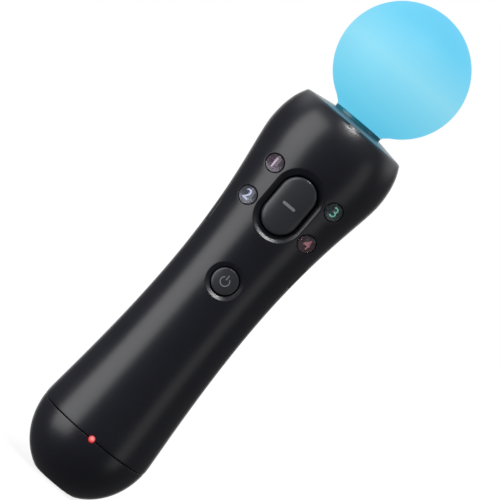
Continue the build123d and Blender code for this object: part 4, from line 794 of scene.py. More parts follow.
def dressed_copy(node, name, sharp_degrees, bevel):
    """A merged, smoothly shaded copy of a frame node, with its sharp edges eased."""
    obj = frame["nodes"][node].copy()
    obj.data = obj.data.copy()
    obj.name = obj.data.name = name
    for key in [k for k in obj.keys() if k.startswith("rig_")]:
        del obj[key]
    obj.parent = None
    obj.matrix_world = Matrix.Identity(4)
    bpy.context.scene.collection.objects.link(obj)
    obj.data.materials.clear()
    if obj.data.has_custom_normals:
        with bpy.context.temp_override(object=obj, active_object=obj, selected_objects=[obj]):
            bpy.ops.mesh.customdata_custom_splitnormals_clear()
    sharp = math.radians(sharp_degrees)
    work = bmesh.new()
    work.from_mesh(obj.data)
    bmesh.ops.remove_doubles(work, verts=work.verts, dist=2e-6)
    bmesh.ops.dissolve_limit(
        work, angle_limit=math.radians(0.5), verts=work.verts, edges=work.edges, use_dissolve_boundaries=False
    )
    edges = [edge for edge in work.edges if len(edge.link_faces) == 2 and edge.calc_face_angle(0.0) > sharp]
    bmesh.ops.bevel(
        work, geom=edges, offset=bevel * MM, segments=2, profile=0.5, affect="EDGES", clamp_overlap=True
    )
    bmesh.ops.triangulate(work, faces=work.faces)
    work.to_mesh(obj.data)
    work.free()
    obj.data.shade_smooth()
    obj.data.set_sharp_from_angle(angle=sharp)
    return obj


def mm(length):
    """A length setting in millimetres."""
    return round(length / MM, 4)


def make_handle(sizes):
    """Front shell, rear shell and tail cap, with the tongues and the ring behind their joints."""
    half_turn, seam, edge_round = math.pi / 2, SEAM_GAP / 2 / HEAD_RADIUS, mm(sizes.edge_round)
    low, high = float(arc_of_height(PARTING_HEIGHT + PARTING_GAP / 2)), float(ARC[-1])
    edge = (-half_turn + seam, half_turn - seam, low, high)
    front = moulding("front_shell_skin", edge, FRONT_OPENINGS, SHELL_STEP, edge_round)
    arcs = (low + TONGUE_ENDS[0], high - TONGUE_ENDS[1])
    for index, middle in enumerate((-half_turn, half_turn)):
        turns = (middle - TONGUE_TURN, middle + TONGUE_TURN)
        front = joined(front, band(f"front_tongue_{index}", turns, arcs, TONGUE_DEPTH, TONGUE_WALL, (5, 90)))
    stands_for(front, CASE, "case_black", "front_shell")
    edge = (half_turn + seam, 3 * half_turn - seam, low, high)
    rear = moulding("rear_shell_skin", edge, REAR_OPENINGS, SHELL_STEP, edge_round)
    stands_for(rear, CASE, "case_black", "rear_shell")
    top = float(arc_of_height(PARTING_HEIGHT - PARTING_GAP / 2))
    edge = (0.0, 2 * math.pi, 0.0, top)
    tail = moulding("tail_cap_skin", edge, TAIL_OPENINGS, TAIL_STEP, edge_round, polar=True)
    ring = turned("tail_spigot", round_line(SPIGOT_LINE, 0.3), 160)
    tail = joined(tail, ring, closed_box("strap_floor", *STRAP_FLOOR))
    stands_for(tail, CASE, "case_black", "tail_cap")


def make_ball(sizes):
    """The light ball with its neck, the teal collar and the shoulder plate with its tab."""
    hollow = BALL_RADIUS - BALL_WALL
    start = math.degrees(math.asin(-(BALL_CENTRE - NECK_JOIN) / BALL_RADIUS))
    outside = arc_points(BALL_CENTRE, BALL_RADIUS, start + 1.5, 90.0, 96)
    outside = np.vstack([[(NECK_RADIUS, NECK_FOOT), (NECK_RADIUS, NECK_TOP)], outside[2:]])
    inside = arc_points(BALL_CENTRE, hollow, 90.0, -math.degrees(math.acos(NECK_BORE / hollow)), 60)
    outside[-1][0] = inside[0][0] = 0.0
    ball = turned("light_ball_skin", np.vstack([outside, inside, [(NECK_BORE, NECK_FOOT)]]), 192)
    stands_for(ball, CASE, "ball_skin", "light_ball")
    collar = turned("collar_ring", round_line(COLLAR_LINE, 0.18), 160)
    stands_for(collar, CASE, "socket_teal", "ball_socket")
    half = mm(sizes.tab_width) / 2
    plate = turned("shoulder_cone", round_line(PLATE_LINE, 0.25), 192)
    plate = joined(plate, extruded("shoulder_tab", TAB_SIDE, 0, (-half, half), 0.1))
    stands_for(plate, CASE, "plate_gloss", "shoulder_plate")


def make_buttons(sizes):
    """Action button with its bar, home button with its mark, and the two side buttons."""
    stand, crown = mm(sizes.action_stand), mm(sizes.action_crown)
    action = button_top(
        "action_button_skin", ACTION_RIM, stand, FRONT_FLOOR, step=0.7, rounding=0.8, crown=crown
    )
    stands_for(action, "action_button", "button_grey", "action_button")
    half = (mm(sizes.bar_length) / 2, mm(sizes.bar_width) / 2)
    bar = flat_mark("action_bar", [rounded_box_ring(ACTION_RIM.centre, half, half[1], 0.2)], BAR_STAND)
    stands_for(bar, "action_button", "mark_grey")
    sunk, crown = mm(sizes.home_sunk), mm(sizes.home_crown)
    home = button_top("home_button_skin", HOME_RIM, -sunk, FRONT_FLOOR, step=0.6, rounding=0.5, crown=crown)
    stands_for(home, "home_button", "button_grey", "home_button")
    radius, line = mm(sizes.mark_radius), mm(sizes.mark_line)
    turn = np.radians(np.linspace(*HOME_ARC, 40))
    ring = [(radius * math.cos(t), HOME_HEIGHT + radius * math.sin(t)) for t in turn]
    radius -= line
    ring += [(radius * math.cos(t), HOME_HEIGHT + radius * math.sin(t)) for t in turn[::-1]]
    bar = rounded_box_ring(np.array(HOME_BAR_PLACE), HOME_BAR_HALF, HOME_BAR_HALF[0], 0.1)
    stands_for(flat_mark("home_mark", [ring, bar], HOME_STAND), "home_button", "mark_grey")
    for side, floor in (("left", -SIDE_FLOOR), ("right", SIDE_FLOOR)):
        stand = mm(sizes.side_stand)
        button = button_top(f"{side}_side_skin", SIDE_RIMS[side], stand, floor, step=0.5, rounding=0.3)
        stands_for(button, f"{side}_side_button", "button_black", f"{side}_side_button")


def round_cap(name, place, crown, sunk):
    """A closed round cap that follows the handle's front, domed, with its edge rounded over."""
    shares = [0.0, *np.sin(np.linspace(0.0, math.pi / 2, CAP_RINGS + 1))[1:]]
    turn = np.linspace(0.0, 2 * math.pi, CAP_SPOKES, endpoint=False)
    ball = (CAP_RADIUS**2 + crown**2) / (2 * crown)
    top, floor = [], []
    for index, share in enumerate(shares):
        inside = CAP_RADIUS * (1.0 - share)
        rise = math.sqrt(ball**2 - (CAP_RADIUS * share) ** 2) - ball + crown
        lift = rise - sunk - float(round_over(np.array(inside), CAP_ROUND))
        for angle in turn if index else (0.0,):
            x = place[0] + CAP_RADIUS * share * math.sin(angle)
            z = place[1] + CAP_RADIUS * share * math.cos(angle)
            y = float(skin_depth(x, z, 0.0))
            top.append((x, y - lift, z))
            floor.append((x, y + CAP_FLOOR, z))
    triangles = []
    for k in range(CAP_SPOKES):
        j = (k + 1) % CAP_SPOKES
        triangles.append((0, 1 + k, 1 + j))
        for a in range(1, 1 + (CAP_RINGS - 1) * CAP_SPOKES, CAP_SPOKES):
            b = a + CAP_SPOKES
            triangles += [(a + k, b + k, b + j), (a + k, b + j, a + j)]
    obj = shell_object(name, np.array(top), np.array(floor), np.array(triangles))
    tidy_normals(obj)
    obj.data.set_sharp_from_angle(angle=math.radians(50.0))
    return obj


def make_face_buttons(sizes):
    """Four clear domed caps, each over its core and a tinted number."""
    for name, place in FACE_PLACES.items():
        body, number = f"{name}_button", FACE_NUMBERS[name]
        cap = round_cap(f"{name}_dome", place, mm(sizes.cap_crown), mm(sizes.cap_sunk))
        stands_for(cap, body, "cap_clear", f"{name}_cap")
        words = bpy.data.curves.new(f"{name}_number", "FONT")
        words.body, words.size = str(number), mm(sizes.number_height)
        words.extrude, words.offset = NUMBER_THICK, NUMBER_SWELL
        words.align_x, words.align_y = "CENTER", "CENTER"
        words.offset_x, words.offset_y = place
        mark = projected_mark(f"{name}_mark", words, NUMBER_DEPTH, NUMBER_STAND)
        stands_for(mark, body, f"mark_{number}")


def make_mat():
    """Rubber mat behind the front buttons, with a dome under each button."""
    foot = MAT_BACK - MAT_SHEET
    outline = round_line(MAT_OUTLINE, MAT_CORNER, 6)
    mat = extruded("button_mat_sheet", outline, 1, (foot, MAT_BACK), 0.12, rims_only=True)
    stands_for(mat, CASE, "mat_rubber", "button_mat")
    places = {"action": ACTION_RIM.centre, "home": HOME_RIM.centre, **FACE_PLACES}
    for name, (across, height) in places.items():
        dome = turned_across(f"{name}_dome_spring", round_line(DOME_LINE, 0.15), across, height, foot)
        stands_for(dome, CASE, "mat_rubber", "button_mat")
        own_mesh(dome)


def make_trigger():
    """Trigger lever with its edges eased."""
    lever = dressed_copy("trigger", "trigger_skin", sharp_degrees=35.0, bevel=0.12)
    stands_for(lever, "trigger", "trigger_black", "trigger")


def make_trigger_works():
    """Rubber pad that the trigger squeezes, and the trigger's spring."""
    line = round_line(PAD_LINE, 0.15)
    pad = turned_across("trigger_pad_cone", line, 0.0, PAD_HEIGHT, PAD_FOOT, forward=False)
    stands_for(pad, CASE, "mat_rubber", "trigger_pad")
    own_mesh(pad)
    half = SPRING_TURNS * SPRING_PITCH / 2
    share = np.linspace(0.0, 1.0, int(SPRING_TURNS * 32) + 1)
    turn = share * SPRING_TURNS * 2 * math.pi
    depth, height = PIVOT_DEPTH + SPRING_RADIUS * np.cos(turn), PIVOT_HEIGHT + SPRING_RADIUS * np.sin(turn)
    lower = (-half, PIVOT_DEPTH + SPRING_RADIUS, PIVOT_HEIGHT - SPRING_LEGS[0])
    upper = (half, PIVOT_DEPTH - SPRING_LEGS[1], PIVOT_HEIGHT + SPRING_RADIUS)
    coil = np.stack([(2 * share - 1) * half, depth, height], axis=1)
    spring = wire_piece("trigger_spring_wire", [lower, *coil, upper], SPRING_WIRE)
    stands_for(spring, None, "spring_steel", "trigger_spring")
    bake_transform(spring)


def screw_master():
    """One cross-head screw at the origin, its head to +Y."""
    screw = turned_across("screw_master", SCREW_LINE, 0.0, 0.0, 0.0, forward=False, segments=40)
    cutters = []
    for x, z in CROSS_ARMS:
        cutters.append(closed_box("drive_cut", (-x, CROSS_FLOOR, -z), (x, CROSS_TOP, z), 0.05))
        cut = screw.modifiers.new("drive", "BOOLEAN")
        cut.operation, cut.object, cut.solver = "DIFFERENCE", cutters[-1], "EXACT"
    mesh = evaluated_mesh(screw)
    screw.modifiers.clear()
    screw.data = mesh
    for cutter in cutters:
        bpy.data.objects.remove(cutter)
    mesh.shade_smooth()
    mesh.set_sharp_from_angle(angle=math.radians(30.0))
    return screw


def repeat_group():
    """Node group that puts a copy of an object at each point and gives it a material."""
    group = bpy.data.node_groups.new("repeat_at_points", "GeometryNodeTree")
    for name, way, kind in (
        ("Points", "INPUT", "Geometry"), ("Piece", "INPUT", "Object"), ("Material", "INPUT", "Material"),
        ("Pieces", "OUTPUT", "Geometry"),
    ):
        group.interface.new_socket(name, in_out=way, socket_type="NodeSocket" + kind)
    kinds = ("MeshToPoints", "ObjectInfo", "InstanceOnPoints", "RealizeInstances", "SetMaterial")
    points, info, place, real, paint = (group.nodes.new("GeometryNode" + kind) for kind in kinds)
    given, made = group.nodes.new("NodeGroupInput"), group.nodes.new("NodeGroupOutput")
    for source, output, target, socket in (
        (given, "Points", points, "Mesh"),
        (given, "Piece", info, "Object"),
        (points, "Points", place, "Points"),
        (info, "Geometry", place, "Instance"),
        (place, "Instances", real, "Geometry"),
        (real, "Geometry", paint, "Geometry"),
        (given, "Material", paint, "Material"),
        (paint, "Geometry", made, "Pieces"),
    ):
        group.links.new(source.outputs[output], target.inputs[socket])
    return group


def repeated(name, piece, places, material):
    """Copies of a piece at places in millimetres, as one mesh."""
    mesh = bpy.data.meshes.new(name + "_points")
    mesh.from_pydata([tuple(np.array(place) * MM) for place in places], [], [])
    obj, group = linked(name, mesh), repeat_group()
    modifier = obj.modifiers.new("repeat", "NODES")
    modifier.node_group = group
    sockets = {item.name: item.identifier for item in group.interface.items_tree if item.in_out == "INPUT"}
    modifier[sockets["Piece"]] = piece
    modifier[sockets["Material"]] = material
    made = evaluated_mesh(obj)
    obj.modifiers.clear()
    obj.data = made
    bpy.data.objects.remove(piece)
    return obj


def make_fasteners():
    """Six case screws in the wells at the back."""
    places = [(x, SCREW_DEPTH, z) for x, z in SCREW_PLACES]
    screws = repeated("case_screw_set", screw_master(), places, finish("screw_steel"))
    stands_for(screws, CASE, "screw_steel", "case_screws")


# Finishes: colour or the name of its setting, roughness, metallic, grain size in millimetres, grain depth,
# and how much the colour wanders
FINISHES = {
    "case_black": ("case", 0.30, 0.0, 0.22, 0.10, 0.12),
    "trigger_black": ("case", 0.30, 0.0, 0.22, 0.09, 0.12),
    "plate_gloss": ("plate", 0.28, 0.0, 3.0, 0.02, 0.10),
    # The collar's teal is painted light and shade: the ball's glow seen through its neck in shadow
    "socket_teal": ("collar", 0.30, 0.0, 0.6, 0.05, 0.15),
    "button_grey": ("buttons", 0.30, 0.0, 0.3, 0.05, 0.10),
    "mark_grey": ("marks", 0.45, 0.0, 0.4, 0.04, 0.08),
    "board_green": ((0.008, 0.060, 0.022), 0.45, 0.0, 1.4, 0.10, 0.30),
    "lamp_white": ((0.75, 0.76, 0.74), 0.35, 0.0, 1.0, 0.04, 0.05),
    "guide_white": ((0.80, 0.82, 0.84), 0.40, 0.0, 1.0, 0.04, 0.04),
    "screw_steel": ((0.13, 0.13, 0.135), 0.34, 1.0, 0.5, 0.06, 0.20),
    "button_black": ((0.0075, 0.0077, 0.0112), 0.34, 0.0, 0.3, 0.06, 0.10),
    "chip_black": ((0.010, 0.010, 0.011), 0.50, 0.0, 0.4, 0.12, 0.20),
    "spring_steel": ((0.45, 0.45, 0.46), 0.28, 1.0, 0.6, 0.05, 0.12),
    "mat_rubber": ((0.10, 0.10, 0.11), 0.62, 0.0, 0.6, 0.10, 0.20),
    "can_steel": ((0.52, 0.52, 0.53), 0.32, 1.0, 1.2, 0.06, 0.12),
    "frame_grey": ((0.045, 0.045, 0.048), 0.50, 0.0, 0.5, 0.10, 0.12),
    "battery_wrap": ((0.018, 0.020, 0.050), 0.42, 0.0, 2.5, 0.10, 0.15),
    "weight_metal": ((0.36, 0.36, 0.37), 0.38, 1.0, 0.7, 0.10, 0.20),
    "contact_gold": ((0.72, 0.50, 0.20), 0.26, 1.0, 0.5, 0.04, 0.12),
}
for number in FACE_NUMBERS.values():
    FINISHES[f"core_{number}"] = (f"core_{number}", 0.35, 0.0, 0.4, 0.05, 0.15)
    FINISHES[f"mark_{number}"] = (f"number_{number}", 0.45, 0.0, 0.4, 0.04, 0.08)
CORE_TINTS = {f"{name}_core": f"core_{number}" for name, number in FACE_NUMBERS.items()}
WHITE = (1.0, 1.0, 1.0, 1.0)
BUMP_HEIGHT = 0.1 * MM


class Tree:
    """Adds nodes to a material or a world."""

    def __init__(self, owner, empty=False):
        owner.use_nodes = True
        self.nodes, self.links = owner.node_tree.nodes, owner.node_tree.links
        if empty:
            self.nodes.clear()

    def fill(self, node, given):
        """Gives a node's inputs their values or the outputs that feed them."""
        for socket, value in given.items():
            if isinstance(value, bpy.types.NodeSocket):
                self.links.new(value, node.inputs[socket])
            else:
                node.inputs[socket].default_value = value

    def add(self, kind, given=(), out=0, **settings):
        """One of the outputs of a new node."""
        node = self.nodes.new("ShaderNode" + kind)
        for name, value in settings.items():
            setattr(node, name, value)
        self.fill(node, dict(given))
        return node.outputs[out] if len(node.outputs) else None

    def math(self, operation, first, second):
        return self.add("Math", {0: first, 1: second}, operation=operation)

    def mixed(self, share, first, second):
        return self.add("MixShader", {0: share, 1: first, 2: second})

    def noise(self, place, scale, detail):
        return self.add("TexNoise", {"Vector": place, "Scale": scale, "Detail": detail}, "Fac")

    def spread(self, value, low, high, start=0.0, end=1.0, kind="LINEAR"):
        """Goes from low to high while a value goes from start to end."""
        given = {"Value": value, "From Min": start, "From Max": end, "To Min": low, "To Max": high}
        return self.add("MapRange", given, interpolation_type=kind)

    def soft(self, value, start, end, low=0.0, high=1.0):
        return self.spread(value, low, high, start, end, "SMOOTHSTEP")

    def bump(self, place, scale, strength):
        given = {"Strength": strength, "Distance": BUMP_HEIGHT, "Height": self.noise(place, scale, 3.0)}
        return self.add("Bump", given, "Normal")

    def ramp(self, value, stops):
        """Colour at a value between (position, colour) stops."""
        node = self.nodes.new("ShaderNodeValToRGB")
        elements = node.color_ramp.elements
        ends = [(elements[0], stops[0]), (elements[1], stops[-1])]
        for element, (position, colour) in ends:
            element.position, element.color = position, (*colour, 1.0)
        for position, colour in stops[1:-1]:
            elements.new(position).color = (*colour, 1.0)
        self.links.new(value, node.inputs["Fac"])
        return node.outputs["Color"]

    def seen_straight(self):
        """1 for a ray from the camera, also through clear pieces, if it was not mirrored on its way."""
        camera, clear, mirrors = (
            self.add("LightPath", out=out) for out in ("Is Camera Ray", "Is Transmission Ray", "Glossy Depth")
        )
        straight = self.math("MAXIMUM", camera, clear)
        return self.math("MULTIPLY", straight, self.math("LESS_THAN", mirrors, 0.5))


def finish(name):
    """The material of that name, made once."""
    found = bpy.data.materials.get("wand_" + name)
    if found:
        return found
    material = bpy.data.materials.new("wand_" + name)
    tree = Tree(material)
    place = tree.add("TexCoord", out="Object")
    special = {"ball_skin": ball_finish, "cap_clear": clear_finish, "light_pipe": light_finish}
    given = special[name](tree, place) if name in special else moulded_finish(tree, place, *FINISHES[name])
    tree.fill(tree.nodes["Principled BSDF"], given)
    return material


def moulded_finish(tree, place, colour, roughness, metallic, size, depth, wander):
    """Moulded plastic, rubber or metal with a fine grain."""
    if isinstance(colour, str):
        colour = getattr(bpy.context.scene.wand_colours, colour)
    cloud = tree.noise(place, 90.0, 2.0)
    low, high = ((*(value * share for value in colour), 1.0) for share in (1.0 - wander, 1.0 + wander))
    return {
        "Base Color": tree.add("Mix", {"Factor": cloud, "A": low, "B": high}, "Result", data_type="RGBA"),
        "Metallic": metallic,
        "Roughness": tree.spread(cloud, roughness * 0.9, roughness * 1.12),
        "Normal": tree.bump(place, 1.0 / (size * MM), depth),
    }


def ball_finish(tree, place):
    """Frosted soft skin lit from inside; its glow carries a painted highlight round its middle and painted
    shade towards its foot and top.
    """
    colours = bpy.context.scene.wand_colours
    height = tree.add("SeparateXYZ", {"Vector": place}, "Z")
    foot, top = (BALL_CENTRE - BALL_RADIUS) * MM, (BALL_CENTRE + BALL_RADIUS) * MM
    # Glow colours up the ball: the paler middle is a painted highlight, the deeper foot and top are painted
    # shade
    stops = [
        (0.0, colours.ball_foot),
        (0.18, colours.ball_low),
        (0.5, colours.ball_middle),
        (0.82, colours.ball_high),
        (1.0, colours.ball_top),
    ]
    return {
        "Base Color": (0.03, 0.08, 0.10, 1.0),
        "Roughness": 0.6,
        "Specular IOR Level": 0.2,
        "Emission Color": tree.ramp(tree.spread(height, 0.0, 1.0, foot, top), stops),
        "Emission Strength": bpy.context.scene.wand_studio.glow,
        "Normal": tree.bump(place, 1600.0, 0.05),
    }


def clear_finish(tree, place):
    """Clear smoke-tinted plastic of the face buttons' caps, which lets light through to their cores."""
    shadow, diffuse = (tree.add("LightPath", out=out) for out in ("Is Shadow Ray", "Is Diffuse Ray"))
    return {
        "Base Color": (0.80, 0.80, 0.84, 1.0),
        "Transmission Weight": 1.0,
        "IOR": 1.40,
        "Roughness": tree.spread(tree.noise(place, 500.0, 2.0), 0.04, 0.08),
        "Alpha": tree.math("SUBTRACT", 1.0, tree.math("MAXIMUM", shadow, diffuse)),
    }


def light_finish(tree, place):
    """Clear pipe that glows red, paler in its middle."""
    colours = bpy.context.scene.wand_colours
    middle = (0.0, -TAIL_RADIUS * MM, (PARTING_HEIGHT + 0.3) * MM)
    away = tree.add("VectorMath", {0: place, 1: middle}, "Vector", operation="SUBTRACT")
    far = tree.add("VectorMath", {0: away}, "Value", operation="LENGTH")
    stops = [(0.0, colours.light_middle), (1.0, colours.light_edge)]
    return {
        "Base Color": (0.25, 0.02, 0.02, 1.0),
        "Roughness": 0.2,
        "Emission Color": tree.ramp(tree.spread(far, 0.0, 1.0, 0.0, 1.2 * MM), stops),
        "Emission Strength": 0.9,
    }


def paint_all():
    """Gives every shown piece and frame node the finish of its slot."""
    slots = {node: row["slot"] for row in frame["record"]["materials"] for node in row.get("nodes", [])}
    wanted = [
        (node, CORE_TINTS.get(name) or slots.get(name) or node.data.materials[0].name.split(".")[0])
        for name, node in frame["nodes"].items()
    ]
    wanted += [(obj, obj["finish"]) for obj in bpy.data.objects if obj.type == "MESH" and "finish" in obj]
    for obj, slot in wanted:
        obj.data.materials.clear()
        obj.data.materials.append(finish(slot))


def make_world(room):
    """White to the camera and through clear pieces; in reflections dim in front and white behind."""
    world = bpy.data.worlds.new("studio")
    bpy.context.scene.world = world
    tree = Tree(world, empty=True)
    place = tree.add("TexCoord", out="Generated")
    depth, height = (tree.add("SeparateXYZ", {"Vector": place}, axis) for axis in "YZ")
    above = tree.math("MULTIPLY", tree.soft(height, 0.12, 0.45), tree.soft(depth, -0.1, 0.4))
    behind = tree.math("MAXIMUM", above, tree.soft(depth, 0.86, 0.99))
    mirrored = tree.math("MAXIMUM", behind, tree.soft(height, 0.25, 0.75, 0.10, 0.26))
    lit = tree.soft(height, -0.5, 0.3, 0.3 * room, room)
    lit, mirrored, white = (
        tree.add("Background", {"Color": WHITE, "Strength": strength}) for strength in (lit, mirrored, 1.0)
    )
    unseen = tree.mixed(tree.add("LightPath", out="Is Glossy Ray"), lit, mirrored)
    tree.add("OutputWorld", {"Surface": tree.mixed(tree.seen_straight(), unseen, white)})


def make_floor():
    """A wide pale floor at the tail's flat, seen only from above, which keeps the wand's shadow."""
    reach, height = 6.0, -0.2 * MM
    mesh = bpy.data.meshes.new("floor")
    corners = [(x * reach, y * reach, height) for x, y in ((-1, -1), (1, -1), (1, 1), (-1, 1))]
    mesh.from_pydata(corners, [], [(0, 1, 2, 3)])
    floor = linked("floor", mesh)
    material = bpy.data.materials.new("wand_floor")
    tree = Tree(material, empty=True)
    far = tree.add("VectorMath", {0: tree.add("TexCoord", out="Object")}, "Value", operation="LENGTH")
    level = tree.math("MULTIPLY", tree.seen_straight(), tree.soft(far, 0.3, 1.5, 0.86, 0.96))
    lit = tree.add("BsdfDiffuse", {"Color": (0.14, 0.14, 0.14, 1.0)})
    shown = tree.add("AddShader", {0: lit, 1: tree.add("Emission", {"Color": WHITE, "Strength": level})})
    below = tree.add("NewGeometry", out="Backfacing")
    tree.add("OutputMaterial", {"Surface": tree.mixed(below, shown, tree.add("BsdfTransparent"))})
    mesh.materials.append(material)
    floor.visible_glossy = floor.visible_shadow = False


def soft_lamp(name, direction, distance, width, height, power):
    """A soft lamp in a direction from the wand, upright and turned to face its middle."""
    lamp = bpy.data.lights.new(name, "AREA")
    lamp.shape, lamp.size, lamp.size_y, lamp.energy = "RECTANGLE", width, height, power
    obj = linked(name, lamp)
    direction = Vector(direction).normalized()
    obj.location = Vector(LAMP_AIM) + direction * distance
    obj.rotation_euler = direction.to_track_quat("Z", "Y").to_euler()
    obj.visible_camera = False


def make_camera():
    """The photograph's view: from the front and a little above, the wand leaning clockwise in the picture."""
    data = bpy.data.cameras.new("camera")
    data.sensor_width, data.lens = 36.0, 36.0 * VIEW_DISTANCE / PICTURE_WIDTH
    data.clip_start, data.clip_end = 0.05, 50.0
    camera = linked("camera", data)
    rise, turn = math.radians(VIEW_RISE), math.radians(VIEW_TURN)
    away = Vector((math.sin(turn) * math.cos(rise), -math.cos(turn) * math.cos(rise), math.sin(rise)))
    target = Vector((0.0, 0.0, VIEW_HEIGHT * MM))
    look = away.to_track_quat("Z", "Y").to_matrix().to_4x4()
    roll = Matrix.Rotation(math.radians(VIEW_ROLL), 4, "Z")
    camera.matrix_world = Matrix.Translation(target + away * VIEW_DISTANCE * MM) @ look @ roll
    bpy.context.scene.camera = camera


def make_stage(studio):
    """Plain pale floor, soft lamps and the camera."""
    bpy.context.scene.view_settings.view_transform = "Standard"
    make_world(studio.room)
    make_floor()
    front, up = -math.cos(studio.key_rise), math.sin(studio.key_rise)
    soft_lamp("key", (KEY_ACROSS, front, up), *KEY_LAMP, studio.key)
    soft_lamp("strip", *STRIP_LAMP, studio.strip)
    soft_lamp("fill", *FILL_LAMP, studio.fill)
    make_camera()


def length(name, words, value):
    """A length setting, whose default is given in millimetres."""
    return FloatProperty(
        name=name, description=words, default=value * MM, min=0.0, precision=5, unit="LENGTH"
    )


def colour(name, words, value):
    """A colour setting."""
    return FloatVectorProperty(
        name=name, description=words, default=value, size=3, min=0.0, max=1.0, subtype="COLOR"
    )


def power(name, words, value):
    """A lamp's power setting, in watts."""
    return FloatProperty(name=name, description=words, default=value, min=0.0, unit="POWER")


def strength(name, words, value):
    """A setting for how strong a glow is."""
    return FloatProperty(name=name, description=words, default=value, min=0.0, soft_max=4.0, subtype="FACTOR")


class WandSizes(bpy.types.PropertyGroup):
    """Sizes of the edges, button tops and marks."""

    edge_round: length("Edge rounding", "Radius of the edges of the shells and the tail cap", 0.15)
    tab_width: length("Tab width", "Width of the tab at the front of the shoulder plate", 4.2)
    action_stand: length("Action stand", "How far the action button's edge stands out of the handle", 0.1)
    action_crown: length("Action crown", "How much more the middle of the action button stands out", 0.45)
    bar_length: length("Bar length", "Length of the bar on the action button", 5.0)
    bar_width: length("Bar width", "Width of the bar on the action button", 1.0)
    home_sunk: length("Home sunk", "How far the home button's edge lies below the handle's side", 0.3)
    home_crown: length("Home crown", "How much more the middle of the home button stands out", 0.3)
    mark_radius: length("Mark radius", "Outer radius of the ring on the home button", 1.75)
    mark_line: length("Mark line", "Width of the ring's line on the home button", 0.35)
    side_stand: length("Side stand", "How far the side buttons stand out of the handle", 0.1)
    cap_sunk: length("Cap sunk", "How far the edges of the clear caps lie below the handle's side", 0.1)
    cap_crown: length("Cap crown", "How far the clear caps are domed", 0.95)
    number_height: length("Number size", "Size of the letters of the four numbers", 4.7)


class WandColours(bpy.types.PropertyGroup):
    """Colours of the pieces that show."""

    case: colour("Case", "Shells, tail cap and trigger", (0.0062, 0.0065, 0.0108))
    buttons: colour("Buttons", "Action and home button", (0.024, 0.0245, 0.030))
    marks: colour("Marks", "Marks on the action and home button", (0.17, 0.17, 0.18))
    plate: colour("Shoulder plate", "Glossy plate under the ball", (0.075, 0.078, 0.082))
    # Dark teal on the collar stands in for the ball's glow showing through its neck in shade: painted light
    # and painted shade
    collar: colour("Collar", "Ring that the ball stands in", (0.0, 0.15, 0.21))
    # Glow of the ball from foot to top: a painted highlight round the middle, painted shade at the foot and
    # top
    ball_foot: colour("Ball foot", "Glow at the foot of the ball", (0.10, 0.52, 0.74))
    ball_low: colour("Ball low", "Glow a little above the foot", (0.14, 0.575, 0.785))
    ball_middle: colour("Ball middle", "Glow round the middle", (0.235, 0.64, 0.81))
    ball_high: colour("Ball high", "Glow a little below the top", (0.105, 0.535, 0.775))
    ball_top: colour("Ball top", "Glow at the top of the ball", (0.085, 0.50, 0.76))
    light_middle: colour("Light middle", "Glow in the middle of the status light", (1.0, 0.42, 0.42))
    light_edge: colour("Light edge", "Glow at the edge of the status light", (0.42, 0.008, 0.012))
    core_1: colour("Core 1", "Core under the upper left cap", (0.042, 0.020, 0.037))
    core_2: colour("Core 2", "Core under the lower left cap", (0.030, 0.034, 0.050))
    core_3: colour("Core 3", "Core under the upper right cap", (0.018, 0.036, 0.036))
    core_4: colour("Core 4", "Core under the lower right cap", (0.062, 0.032, 0.038))
    number_1: colour("Number 1", "Number under the upper left cap", (0.58, 0.38, 0.56))
    number_2: colour("Number 2", "Number under the lower left cap", (0.52, 0.58, 0.80))
    number_3: colour("Number 3", "Number under the upper right cap", (0.28, 0.82, 0.64))
    number_4: colour("Number 4", "Number under the lower right cap", (0.66, 0.26, 0.29))


class WandStudio(bpy.types.PropertyGroup):
    """Glow of the ball, and the light round the wand."""

    glow: strength("Glow", "How brightly the ball shines", 1.0)
    room: strength("Room light", "Strength of the plain light from all round", 0.75)
    key: power("Key lamp", "Power of the lamp above the front", 4.6)
    key_rise: FloatProperty(
        name="Key rise",
        description="How high the key lamp hangs",
        default=math.radians(61.5),
        subtype="ANGLE",
    )
    strip: power("Strip lamp", "Power of the tall lamp at the left", 11.0)
    fill: power("Fill lamp", "Power of the weak lamp at the right", 1.1)


class WAND_OT_handle(bpy.types.Operator):
    """Make the front shell, the rear shell and the tail cap"""

    bl_idname = "wand.handle"
    bl_label = "Handle"

    def execute(self, context):
        make_handle(context.scene.wand_sizes)
        return {"FINISHED"}


class WAND_OT_ball(bpy.types.Operator):
    """Make the ball, its collar and the shoulder plate"""

    bl_idname = "wand.ball"
    bl_label = "Light ball"

    def execute(self, context):
        make_ball(context.scene.wand_sizes)
        return {"FINISHED"}


class WAND_OT_buttons(bpy.types.Operator):
    """Make the action, home and side buttons with their marks"""

    bl_idname = "wand.buttons"
    bl_label = "Buttons"

    def execute(self, context):
        make_buttons(context.scene.wand_sizes)
        return {"FINISHED"}


class WAND_OT_face_buttons(bpy.types.Operator):
    """Make the four clear caps and their numbers"""

    bl_idname = "wand.face_buttons"
    bl_label = "Face buttons"

    def execute(self, context):
        make_face_buttons(context.scene.wand_sizes)
        return {"FINISHED"}


class WAND_OT_mat(bpy.types.Operator):
    """Make the rubber mat and its domes"""

    bl_idname = "wand.mat"
    bl_label = "Rubber mat"

    def execute(self, context):
        make_mat()
        return {"FINISHED"}


class WAND_OT_trigger(bpy.types.Operator):
    """Make the trigger"""

    bl_idname = "wand.trigger"
    bl_label = "Trigger"

    def execute(self, context):
        make_trigger()
        return {"FINISHED"}


class WAND_OT_trigger_works(bpy.types.Operator):
    """Make the trigger's pad and spring"""

    bl_idname = "wand.trigger_works"
    bl_label = "Trigger works"

    def execute(self, context):
        make_trigger_works()
        return {"FINISHED"}


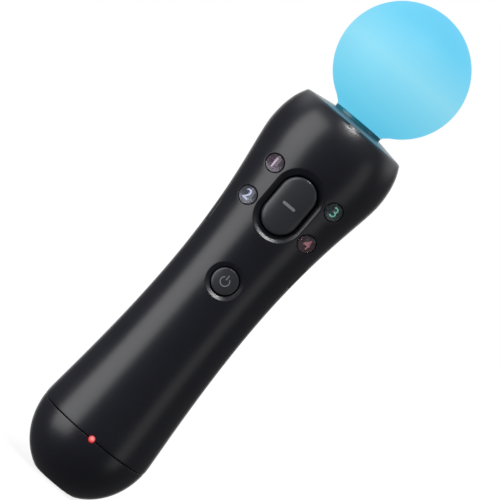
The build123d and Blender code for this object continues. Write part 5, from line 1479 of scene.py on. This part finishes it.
class WAND_OT_fasteners(bpy.types.Operator):
    """Make the screws of the case"""

    bl_idname = "wand.fasteners"
    bl_label = "Fasteners"

    def execute(self, context):
        make_fasteners()
        return {"FINISHED"}


class WAND_OT_finishes(bpy.types.Operator):
    """Paint every piece"""

    bl_idname = "wand.finishes"
    bl_label = "Finishes"

    def execute(self, context):
        paint_all()
        return {"FINISHED"}


class WAND_OT_stage(bpy.types.Operator):
    """Make the floor, the lamps and the camera"""

    bl_idname = "wand.stage"
    bl_label = "Stage"

    def execute(self, context):
        make_stage(context.scene.wand_studio)
        return {"FINISHED"}


GROUPS = {"wand_sizes": WandSizes, "wand_colours": WandColours, "wand_studio": WandStudio}
OPERATORS = (
    WAND_OT_handle, WAND_OT_ball, WAND_OT_buttons, WAND_OT_face_buttons, WAND_OT_mat, WAND_OT_trigger,
    WAND_OT_trigger_works, WAND_OT_fasteners, WAND_OT_finishes, WAND_OT_stage,
)


class WAND_PT_panel(bpy.types.Panel):
    """The settings, and a button for each group of pieces"""

    bl_label = "Wand"
    bl_idname = "WAND_PT_panel"
    bl_space_type = "VIEW_3D"
    bl_region_type = "UI"
    bl_category = "Wand"

    def draw(self, context):
        for name, group in GROUPS.items():
            box = self.layout.box()
            for setting in group.__annotations__:
                box.prop(getattr(context.scene, name), setting)
        for made in OPERATORS:
            self.layout.operator(made.bl_idname)


def register():
    for made in (*GROUPS.values(), *OPERATORS, WAND_PT_panel):
        bpy.utils.register_class(made)
    for name, group in GROUPS.items():
        setattr(bpy.types.Scene, name, PointerProperty(type=group))


def unregister():
    for name in GROUPS:
        delattr(bpy.types.Scene, name)
    for made in (WAND_PT_panel, *reversed(OPERATORS), *GROUPS.values()):
        bpy.utils.unregister_class(made)


def main():
    register()
    bpy.ops.wand.handle()
    bpy.ops.wand.ball()
    bpy.ops.wand.buttons()
    bpy.ops.wand.face_buttons()
    bpy.ops.wand.mat()
    bpy.ops.wand.trigger()
    bpy.ops.wand.trigger_works()
    bpy.ops.wand.fasteners()
    bpy.ops.wand.finishes()
    bpy.ops.wand.stage()
    bpy.context.view_layer.update()


if __name__ == "__main__":
    main()
